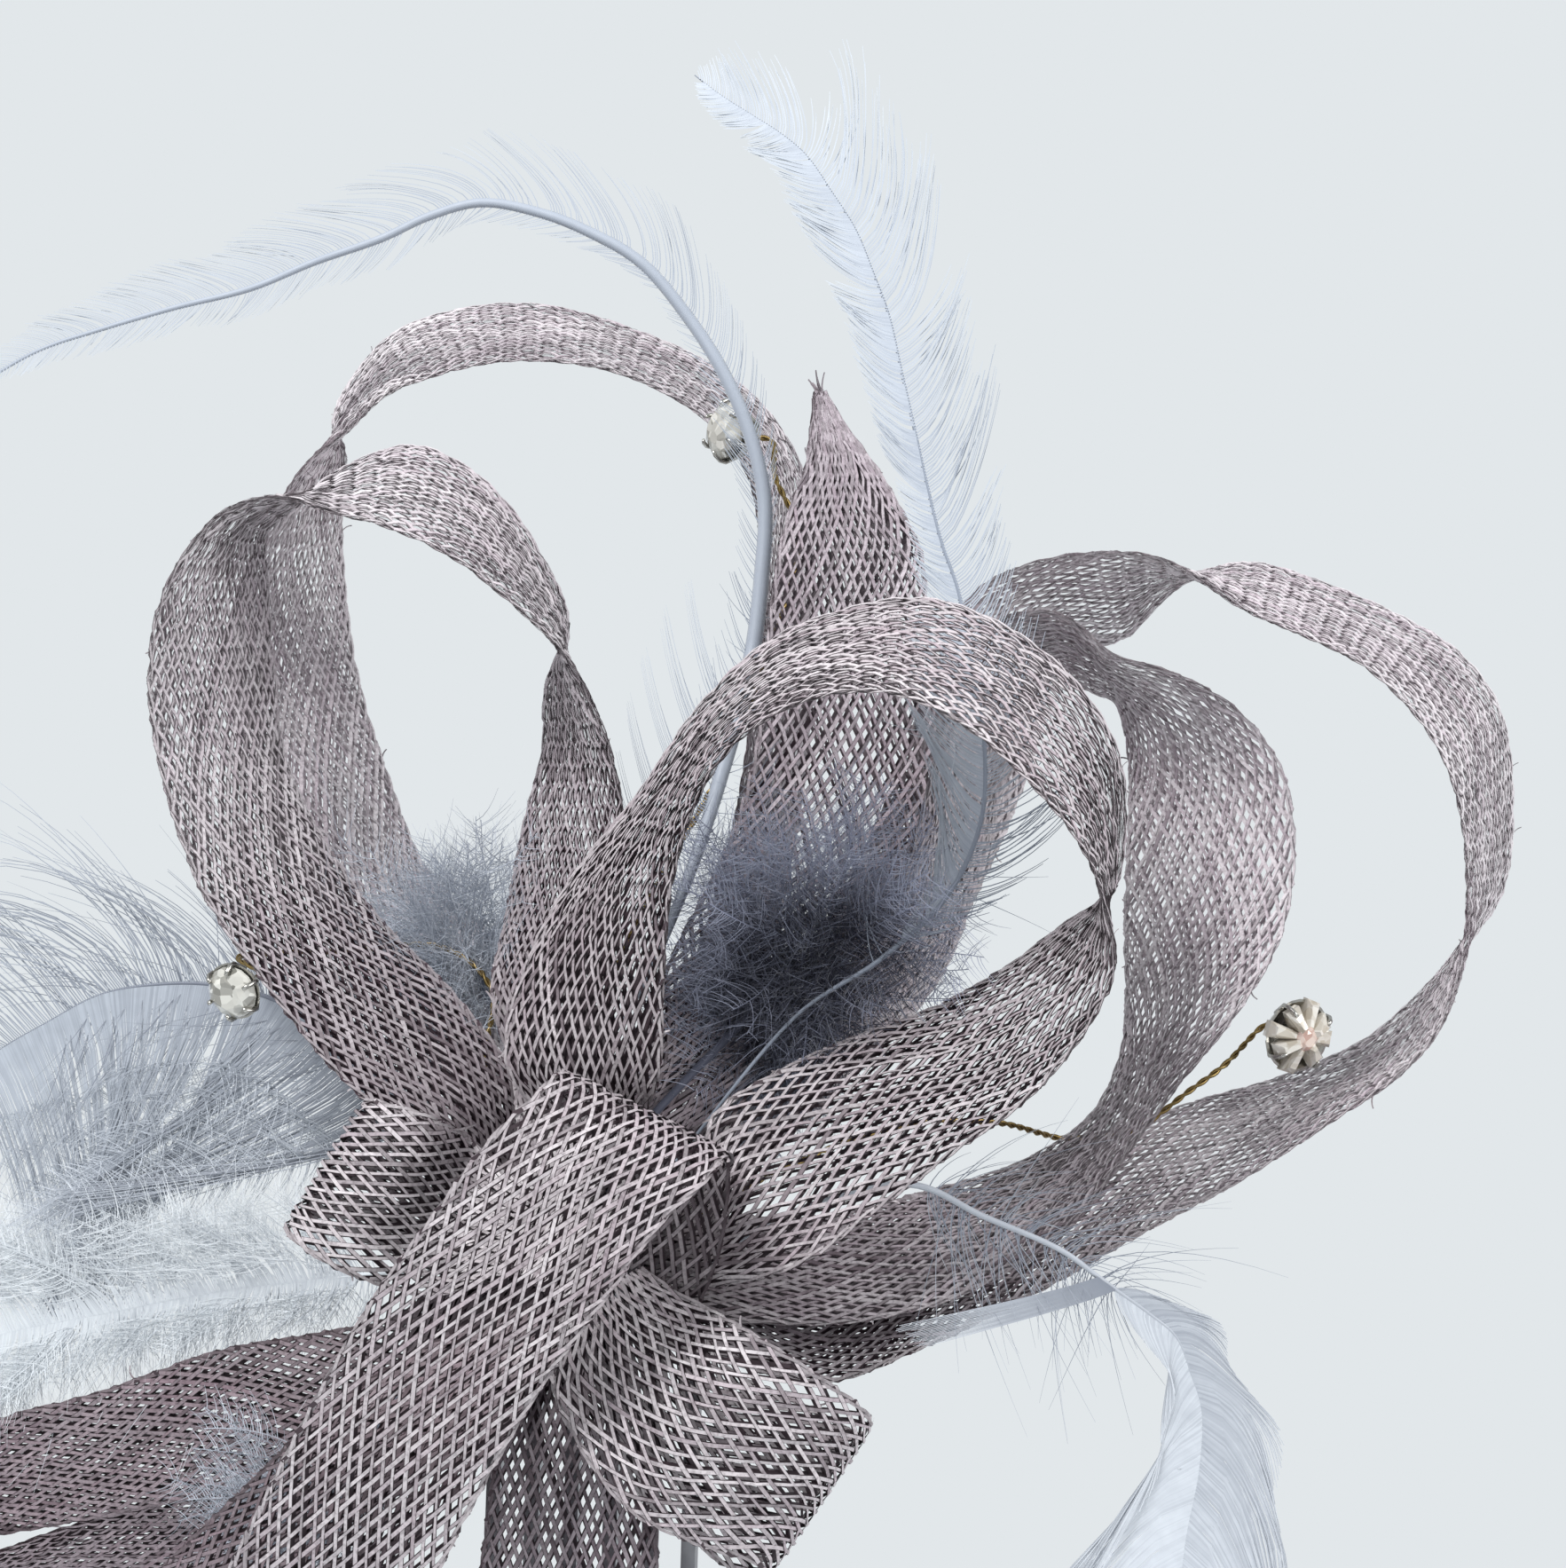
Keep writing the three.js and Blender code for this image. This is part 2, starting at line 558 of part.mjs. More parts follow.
    rows: [
      [-0.235, -0.29, -0.2, 108, 5, 0.7],
      [-0.355, -0.37, 0, 104, 0, 0.72],
      [-0.51, -0.43, 0.25, 100, -5, 0.68],
      [-0.675, -0.545, 0.5, 103, -10, 0.62],
      [-0.83, -0.635, 0.7, 104, -15, 0.6],
      [-0.94, -0.72, 0.85, 112, -35, 0.62],
      [-1, -0.85, 0.95, 125, -65, 0.7],
      [-0.96, -0.975, 1, 118, -80, 0.7],
      [-0.87, -0.985, 1, 112, -60, 0.66],
      [-0.74, -0.93, 0.9, 112, -40, 0.62],
      [-0.6, -0.855, 0.75, 115, -25, 0.6],
      [-0.43, -0.71, 0.45, 120, -12, 0.55],
    ],
  },
  {
    name: 'under_strip_left', side: 0.47, rise: 0.42, depth: 0.18,
    from: { layer: 5, turn: 235 },
    rows: [
      [-0.46, -0.38, -0.97, 145, 0, 0.7],
      [-0.65, -0.61, -0.83, 140, 0, 0.75],
      [-0.855, -0.835, -0.61, 138, 0, 0.75],
      [-1, -1, -0.39, 138, 0, 0.75],
    ],
  },
  {
    name: 'under_strip_down', side: 0.04, rise: 0.41, depth: 0.16,
    from: { layer: 3, turn: 265 },
    rows: [
      [-0.56, -0.335, -0.78, 180, 0, 0.7],
      [-0.67, -0.565, -0.9, 178, 0, 0.78],
      [-0.79, -0.8, -0.97, 177, 0, 0.82],
      [-0.9, -1, -0.905, 177, 0, 0.82],
    ],
  },
];

// Feathers. Each row: across, up and back as shares, then the left and right vane as shares of
// the vane's full width, and the roll of the vane in degrees
const feathers = [
  {
    name: 'feather_tall_left', side: 0.77, rise: 1.25, depth: 0.3, vane: 0.09,
    from: { layer: 7, turn: 112 },
    rows: [
      [-0.045, 0.16, -0.07, 0, 0, 0],
      [0.006, 0.215, 0.02, 0, 0, 0],
      [0.06, 0.27, 0.09, 0, 0, 0],
      [0.125, 0.365, 0.31, 0.5, 0.1, 0],
      [0.175, 0.465, 0.47, 0.6, 0.1, 0],
      [0.215, 0.565, 0.62, 0.45, 0.1, 0],
      [0.23, 0.64, 0.67, 0.4, 0.1, 0],
      [0.235, 0.71, 0.7, 0.4, 0.2, 0],
      [0.215, 0.77, 0.71, 0.35, 0.4, 0],
      [0.175, 0.83, 0.73, 0.3, 0.6, 0],
      [0.12, 0.885, 0.77, 0.25, 0.75, 0],
      [0.045, 0.94, 0.8, 0.25, 0.85, 0],
      [-0.035, 0.97, 0.83, 0.3, 0.9, 0],
      [-0.115, 0.99, 0.86, 0.3, 0.9, 0],
      [-0.205, 1, 0.88, 0.35, 0.85, 0],
      [-0.285, 0.988, 0.9, 0.4, 0.8, 0],
      [-0.36, 0.967, 0.91, 0.4, 0.75, 0],
      [-0.465, 0.945, 0.93, 0.4, 0.7, 0],
      [-0.565, 0.92, 0.94, 0.4, 0.6, 0],
      [-0.685, 0.902, 0.96, 0.35, 0.5, 0],
      [-0.8, 0.882, 0.98, 0.3, 0.4, 0],
      [-0.9, 0.862, 1, 0.2, 0.3, 0],
      [-1, 0.827, 1, 0, 0, 0],
    ],
  },
  {
    name: 'feather_tall_right', side: 0.43, rise: 1.39, depth: 0.18, vane: 0.09,
    from: { layer: 7, turn: 45 },
    rows: [
      [0.51, 0.215, -0.17, 0.1, 0.2, 0],
      [0.73, 0.26, -0.11, 0.35, 0.4, 0],
      [0.9, 0.31, -0.05, 0.6, 0.7, 0],
      [0.99, 0.37, 0.05, 0.75, 0.8, 0],
      [1, 0.435, 0.12, 0.7, 0.5, 0],
      [0.97, 0.497, 0.19, 0.5, 0.4, 0],
      [0.935, 0.558, 0.28, 0.35, 0.55, 0],
      [0.89, 0.6, 0.33, 0.3, 0.65, 0],
      [0.855, 0.645, 0.39, 0.35, 0.6, 0],
      [0.82, 0.695, 0.44, 0.4, 0.6, 0],
      [0.787, 0.742, 0.5, 0.45, 0.65, 0],
      [0.753, 0.79, 0.56, 0.5, 0.7, 0],
      [0.71, 0.827, 0.61, 0.5, 0.75, 0],
      [0.667, 0.861, 0.67, 0.45, 0.75, 0],
      [0.6, 0.895, 0.72, 0.4, 0.65, 0],
      [0.533, 0.926, 0.78, 0.35, 0.5, 0],
      [0.465, 0.945, 0.83, 0.3, 0.4, 0],
      [0.386, 0.962, 0.89, 0.25, 0.3, 0],
      [0.3, 0.98, 0.94, 0.15, 0.2, 0],
      [0.23, 0.998, 1, 0, 0, 0],
    ],
  },
  {
    name: 'feather_left', side: 0.78, rise: 0.32, depth: 0.2, vane: 0.24,
    from: { layer: 3, turn: 172 },
    rows: [
      [-0.3, 0.6, 0.45, 0, 0, 0],
      [-0.47, 0.93, 0.6, 0.1, 0.05, 0],
      [-0.58, 1.01, 0.62, 0.5, 0.25, 0],
      [-0.68, 1.01, 0.66, 0.8, 0.7, 0],
      [-0.76, 0.97, 0.72, 0.95, 1, 0],
      [-0.84, 0.87, 0.8, 0.8, 0.9, 0],
      [-0.92, 0.76, 0.9, 0.55, 0.6, 0],
      [-1, 0.61, 1, 0.15, 0.2, 0],
    ],
  },
  {
    name: 'feather_lower_left', side: 0.77, rise: 0.14, depth: 0.16, vane: 0.1,
    from: { layer: 3, turn: 185 },
    rows: [
      [-0.25, 0.1, -0.33, 0, 0, 0],
      [-0.37, 0, 0.12, 0, 0, 0],
      [-0.57, -0.18, 0.5, 0.1, 0.2, 0],
      [-0.76, -0.4, 0.7, 0.4, 0.6, 0],
      [-0.92, -0.6, 0.88, 0.5, 0.8, 0],
      [-1, -0.8, 1, 0.2, 0.3, 0],
    ],
  },
  {
    name: 'feather_lower_right', side: 0.67, rise: 0.39, depth: 0.13, vane: 0.16,
    from: { layer: 7, turn: -20 },
    rows: [
      [0.3, 0.215, -1, 0, 0, 0],
      [0.51, 0.3, -0.9, 0, 0, 0],
      [0.63, 0.21, -0.88, 0, 0, 0],
      [0.76, 0.11, -0.8, 0.05, 0.05, 0],
      [0.83, 0.02, -0.69, 0.2, 0.15, 0],
      [0.905, -0.075, -0.54, 0.5, 0.2, 0],
      [0.955, -0.15, -0.46, 0.45, 0.4, 0],
      [0.98, -0.255, -0.38, 0.5, 0.6, 0],
      [1, -0.37, -0.31, 0.55, 0.75, 0],
      [0.997, -0.55, -0.23, 0.7, 0.9, 0],
      [0.978, -0.73, -0.15, 0.75, 0.95, 0],
      [0.96, -1, -0.08, 0.6, 0.6, 0],
    ],
  },
];

// Fluffs: where the core sits and the fans of locks round it
const fluffs = [
  {
    name: 'fluff_centre', from: { layer: 7, turn: 75 },
    by: [[0.06, -0.05, 0.19]],
    core: { across: 0.23, back: 0.03, up: 0.36, size: 0.04, flat: 0.6 },
    fans: [
      { count: 5, turnFrom: 70, turnTo: 150, tip: 0, length: 0.21, thick: 0.022, curl: 0.06 },
      { count: 4, turnFrom: -5, turnTo: 55, tip: -8, length: 0.17, thick: 0.02, curl: 0.08 },
      { count: 3, turnFrom: 165, turnTo: 215, tip: -6, length: 0.13, thick: 0.02, curl: -0.06 },
      { count: 3, turnFrom: 235, turnTo: 300, tip: -14, length: 0.12, thick: 0.02, curl: 0.05 },
    ],
  },
  {
    name: 'fluff_left', from: { layer: 3, turn: 137 },
    by: [[-0.08, 0.032, 0.18]],
    core: { across: -0.17, back: 0.2, up: 0.36, size: 0.03, flat: 0.7 },
    fans: [
      { count: 5, turnFrom: 60, turnTo: 150, tip: 3, length: 0.13, thick: 0.018, curl: 0.06 },
      { count: 3, turnFrom: -30, turnTo: 40, tip: -4, length: 0.09, thick: 0.016, curl: 0.06 },
    ],
  },
  {
    name: 'fluff_lower_left', from: { layer: 3, turn: 205 },
    by: [[-0.2, -0.065, -0.1]],
    core: { across: -0.3, back: -0.055, up: -0.23, size: 0.03, flat: 0.6 },
    fans: [
      { count: 6, turnFrom: 165, turnTo: 265, tip: 4, length: 0.17, thick: 0.018, curl: 0.07 },
    ],
  },
];

// Stones on wire. Each row of a wire: across, up and back as shares of its own reach
const sprays = [
  {
    name: 'left', stone: roundStone, from: { layer: 3, turn: 152 },
    side: 0.45, rise: 0.37, depth: 0.15,
    at: [-0.41, -0.06, 0.325],
    facing: direction(215, -60),
    rows: [
      [-0.29, 0.38, 0.12],
      [-0.31, 0.65, 0.47],
      [-0.3, 0.865, 0.77],
      [-0.43, 0.99, 1],
      [-0.7, 0.98, 0.85],
      [-0.93, 0.97, 0.45],
    ],
  },
  {
    name: 'top', stone: roundStone + 1, from: { layer: 7, turn: 125 },
    side: 0.22, rise: 0.98, depth: 0.28,
    at: [0.135, 0.28, 0.98],
    facing: direction(170, -35),
    rows: [
      [-0.15, 0.22, 0.12],
      [0.1, 0.38, 0.4],
      [0.6, 0.59, 0.66],
      [0.9, 0.76, 0.76],
      [1, 0.85, 0.83],
      [0.98, 0.89, 0.87],
      [0.88, 0.94, 0.93],
    ],
  },
  {
    name: 'right', stone: flowerStone, from: { layer: 7, turn: 12 },
    side: 0.81, rise: 0.26, depth: 0.21,
    at: [0.81, 0.19, 0.26],
    facing: direction(-20, -62),
    rows: [
      [0.22, 0.45, -0.29],
      [0.4, 0.65, 0],
      [0.55, 0.64, 0.48],
      [0.62, 0.57, 0.81],
      [0.65, 0.54, 0.94],
      [0.71, 0.54, 0.975],
      [0.76, 0.57, 0.98],
      [0.84, 0.75, 0.95],
      [0.89, 0.86, 0.98],
    ],
  },
];

function material(color, roughness, metalness) {
  return new THREE.MeshStandardMaterial({ color, roughness, metalness });
}

const straw = material(0x9a8e96, 0.75, 0);
const darkStraw = material(0x6f636c, 0.8, 0);
const paleFeather = material(0xaab4c2, 0.8, 0);
const greyFeather = material(0x8d98a8, 0.85, 0);
const darkFluff = material(0x5c6270, 0.95, 0);
const wireBrass = material(0x9a8455, 0.35, 1);
const settingSilver = material(0xc9c8c4, 0.25, 1);
const clearStone = new THREE.MeshStandardMaterial({ color: 0xdfe6ea, roughness: 0.05, transparent: true, opacity: 0.5 });
const combMetal = material(0xb9b9bc, 0.35, 1);

const headpiece = new THREE.Group();

function add(name, geometry, surface) {
  geometry.computeVertexNormals();
  const mesh = new THREE.Mesh(geometry, surface);
  mesh.name = name;
  headpiece.add(mesh);
}

add('head_comb', combBody(), combMetal);
const shaded = ['loop_right', 'loop_outer_right', 'under_strip_left', 'under_strip_down'];
for (const strip of strips) add(strip.name, stripBody(strip), shaded.includes(strip.name) ? darkStraw : straw);
for (const feather of feathers) {
  add(feather.name, featherBody(feather), feather.name.includes('tall') ? paleFeather : greyFeather);
}
for (const fluff of fluffs) add(fluff.name, fluffBody(fluff), darkFluff);
for (const spray of sprays) {
  add(`stone_${spray.name}`, stoneBody(spray), clearStone);
  add(`setting_${spray.name}`, settingBody(spray), settingSilver);
  add(`wire_${spray.name}`, wireBody(spray), wireBrass);
}

export default headpiece;
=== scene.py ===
import math

import bmesh
import bpy
import numpy as np
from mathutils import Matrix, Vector


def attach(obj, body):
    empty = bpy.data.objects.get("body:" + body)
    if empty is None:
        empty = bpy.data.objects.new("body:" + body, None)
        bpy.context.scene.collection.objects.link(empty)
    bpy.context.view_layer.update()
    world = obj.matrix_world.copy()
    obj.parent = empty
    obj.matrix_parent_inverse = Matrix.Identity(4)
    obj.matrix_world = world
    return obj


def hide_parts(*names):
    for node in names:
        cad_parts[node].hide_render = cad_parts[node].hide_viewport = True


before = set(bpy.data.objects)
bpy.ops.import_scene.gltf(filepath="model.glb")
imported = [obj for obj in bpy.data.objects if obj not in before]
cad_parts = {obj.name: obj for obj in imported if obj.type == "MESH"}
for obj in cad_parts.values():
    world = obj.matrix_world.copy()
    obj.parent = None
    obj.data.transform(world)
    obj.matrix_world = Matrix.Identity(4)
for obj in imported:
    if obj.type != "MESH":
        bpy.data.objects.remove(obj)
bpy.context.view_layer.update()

# Sizes of the headpiece, in millimetres, as in the part
REACH = 100
STRIP_WIDTH = 24
STRIP_THICK = 1.0
LAYER_GAP = 0.3
CLEARANCE = 0.3
POST_RADIUS = 6
COMB_THICK = 2.5
QUILL_RADIUS = 0.5
QUILL_END = POST_RADIUS + 5
STEM_END = POST_RADIUS + 4
WIRE_RADIUS = 0.5
ROUND_STONE = 6
FLOWER_STONE = 8
SETTING_FOOT = 0.9

# Sizes of what is woven, split and twisted, in millimetres
STRAND_WIDTH = 0.39
STRAND_THICK = 0.08
STRAND_RISE = 0.1
LAYER_APART = 0.4
HEM_WIDTH = 0.32
HEM_RADIUS = 0.22
HEM_TURN = 7
BROKEN_WIDTH = 0.26
CUT_WIDTH = 0.36
HAIR_WIDTH = 0.09
DOWN_WIDTH = 0.07
VANE_DOWN = 4.2
LEAST_BARB = 0.7
THREAD_RADIUS = 0.2
WIRE_TWIST = 3.6

# Hairs and barbs end at the headpiece's left end and lowest point
LEFT_END = -97
LOW_END = -60

# Painted shade: straw is drawn darker near the post, where it is gathered and no light gets in
POST_SHADE_TO = 75
POST_SHADE_FADE = 45

# How many strands are missing, how many are stained dark, and how many ends stand off a cut edge
MISSING = 0.02
STAINED = 0.08
CUT_ENDS = 26

# How many points a barb, a stray hair, a hair of down, a broken strand and a plume have
BARB_POINTS = 9
STRAY_POINTS = 8
DOWN_POINTS = 5
BROKEN_POINTS = 6
PLUME_POINTS = 12
PLUMES_A_FAN = 11

MM = 0.001

# The camera looks along +Y, level, from where the photograph was taken
EYE = (20.25, -450, 55.65)
FOCAL = 4500
PICTURE_SIDE = 1765
SENSOR = 36

camera_data = bpy.data.cameras.new("camera")
camera_data.sensor_width = SENSOR
camera_data.sensor_fit = "HORIZONTAL"
camera_data.lens = SENSOR * FOCAL / PICTURE_SIDE
camera_data.clip_start = 0.01
camera = bpy.data.objects.new("camera", camera_data)
camera.location = [x * MM for x in EYE]
camera.rotation_euler = (math.pi / 2, 0, 0)
bpy.context.collection.objects.link(camera)
bpy.context.scene.camera = camera
bpy.context.scene.view_settings.view_transform = "Standard"

chance = np.random.default_rng(7)


class Worth:
    """What a node gives out, with sums on it written as plain arithmetic."""

    def __init__(self, finish, socket):
        self.finish = finish
        self.socket = socket

    def sum(self, operation, first, second):
        return self.finish.node("ShaderNodeMath", {"operation": operation}, {0: first, 1: second})

    def __add__(self, other):
        return self.sum("ADD", self, other)

    __radd__ = __add__

    def __mul__(self, other):
        return self.sum("MULTIPLY", self, other)

    __rmul__ = __mul__

    def __sub__(self, other):
        return self.sum("SUBTRACT", self, other)

    def __rsub__(self, other):
        return self.sum("SUBTRACT", other, self)


class Finish:
    """A material in the making."""

    def __init__(self, name):
        self.material = bpy.data.materials.new(name)
        self.material.use_nodes = True
        self.tree = self.material.node_tree
        self.tree.nodes.clear()

    def node(self, kind, settings=None, sockets=None, out=0):
        made = self.tree.nodes.new(kind)
        for key, value in (settings or {}).items():
            setattr(made, key, value)
        for key, value in (sockets or {}).items():
            socket = made.inputs[key]
            if isinstance(value, Worth):
                self.tree.links.new(value.socket, socket)
            else:
                socket.default_value = value
        return Worth(self, made.outputs[out])

    def mark(self, name):
        """A number kept on the points of the mesh."""
        return self.node("ShaderNodeAttribute", {"attribute_name": name}, out=2)

    def place(self):
        return self.node("ShaderNodeTexCoord", out=3)

    def noise(self, scale, detail):
        return self.node("ShaderNodeTexNoise", {}, {"Vector": self.place(), "Scale": scale, "Detail": detail})

    def ramp(self, share, low, high):
        """Nought below low and one above high, with an even change between."""
        made = self.node("ShaderNodeValToRGB", {}, {0: share})
        first, last = made.socket.node.color_ramp.elements
        first.position, last.position = low, high
        return made

    def blend(self, share, first, second):
        return self.node("ShaderNodeMix", {"data_type": "RGBA"}, {0: share, 6: first, 7: second}, out=2)

    def done(self, sockets):
        """The material, with these worths and numbers on its surface."""
        shader = self.node("ShaderNodeBsdfPrincipled", {}, sockets)
        surface = self.tree.nodes.new("ShaderNodeOutputMaterial")
        self.tree.links.new(shader.socket, surface.inputs[0])
        return self.material


def colour(red, green, blue):
    """A colour given as it looks on a screen, from 0 to 255."""
    return tuple(((x / 255 + 0.055) / 1.055) ** 2.4 for x in (red, green, blue)) + (1.0,)


def straw_finish(name, dark, pale, tint):
    """Split straw: each strand has its own tone and stain, with fine dark flecks along it. The tone mark also
    holds painted highlights and painted shade.
    """
    f = Finish(name)
    streak = f.noise(2200, 4)
    fleck = f.ramp(streak, 0.46, 0.7)
    stain = f.ramp(f.noise(60, 3), 0.4, 0.62)
    clean = f.blend(f.mark("reach") * 0.6 + stain * 0.25, colour(*pale), colour(*tint))
    base = f.blend(f.mark("tone"), colour(*dark), clean)
    base = f.blend(fleck * 0.45, base, colour(*dark))
    rise = f.node("ShaderNodeBump", {}, {"Strength": 0.5, "Distance": 0.0001, "Height": streak})
    return f.done({"Base Color": base, "Roughness": streak * 0.2 + 0.5, "Normal": rise, "Coat Weight": 0.1})


def barb_finish(name, dark, pale, tip):
    """Barbs and down: dark to pale by their tone, their own shade and on feathers also painted shade towards
    the root, and paler still at their tips.
    """
    f = Finish(name)
    streak = f.noise(500, 2)
    base = f.blend(f.mark("tone"), colour(*dark), colour(*pale))
    base = f.blend(f.mark("reach") * 0.6, base, colour(*tip))
    base = f.blend(streak * 0.3, base, colour(*dark))
    return f.done({"Base Color": base, "Roughness": streak * 0.2 + 0.45, "Sheen Weight": 0.3})


def metal_finish(name, tone, tarnish, rough):
    f = Finish(name)
    wear = f.noise(400, 3)
    base = f.blend(wear, colour(*tone), colour(*tarnish))
    return f.done({"Base Color": base, "Metallic": 1.0, "Roughness": wear * 0.2 + rough})


def stone_finish(name, body, back):
    """Clear cut glass over a silvered back, drawn opaque: its pale and dark patches are painted reflections
    and painted shade of the facets.
    """
    f = Finish(name)
    painted_reflection = f.node("ShaderNodeTexVoronoi", {}, {"Vector": f.place(), "Scale": 900.0}, out=1)
    grey = f.node("ShaderNodeRGBToBW", {}, {0: painted_reflection})
    return f.done({
        "Base Color": f.blend(grey, colour(*back), colour(*body)), "Roughness": grey * 0.04 + 0.02,
        "Metallic": grey * 0.25, "Coat Weight": 1.0, "Coat Roughness": 0.02,
    })


# One straw in four copies of its finish, darker down the list: the first for the loops out in the open, the
# other three as painted shade, for the strips close in front of the post, for the tail and the strip that
# hangs underneath, and, darkest and browner, for the strips low on the left
STRAW_PALE = straw_finish("straw_pale", (62, 46, 54), (218, 212, 215), (180, 164, 174))
STRAW_SHADED_NEAR = straw_finish("straw_shaded_near", (54, 40, 47), (206, 199, 202), (166, 150, 158))
STRAW_SHADED_MID = straw_finish("straw_shaded_mid", (56, 40, 48), (202, 192, 198), (160, 142, 153))
STRAW_SHADED_DEEP = straw_finish("straw_shaded_deep", (58, 44, 50), (176, 162, 168), (148, 124, 134))
BARB_PALE = barb_finish("barb_pale", (126, 134, 148), (186, 193, 203), (198, 205, 212))
BARB_GREY = barb_finish("barb_grey", (84, 90, 106), (190, 197, 207), (214, 219, 226))
BARB_VANE = barb_finish("barb_vane", (104, 110, 124), (206, 211, 218), (218, 222, 228))
BARB_WHITE = barb_finish("barb_white", (150, 156, 168), (222, 227, 231), (232, 236, 239))
FLUFF_DARK = barb_finish("fluff_dark", (6, 10, 38), (148, 153, 178), (188, 194, 212))
FLUFF_PALE = barb_finish("fluff_pale", (66, 72, 88), (178, 185, 198), (206, 212, 222))
WIRE_BRASS = metal_finish("wire_brass", (170, 146, 96), (112, 96, 62), 0.3)
SETTING_SILVER = metal_finish("setting_silver", (214, 212, 206), (150, 148, 142), 0.16)
COMB_STEEL = metal_finish("comb_steel", (190, 190, 194), (140, 140, 146), 0.22)
STONE_CLEAR = stone_finish("stone_clear", (246, 244, 236), (62, 60, 50))
STONE_CREAM = stone_finish("stone_cream", (252, 248, 240), (182, 170, 150))
STONE_PINK = stone_finish("stone_pink", (246, 226, 214), (176, 132, 118))
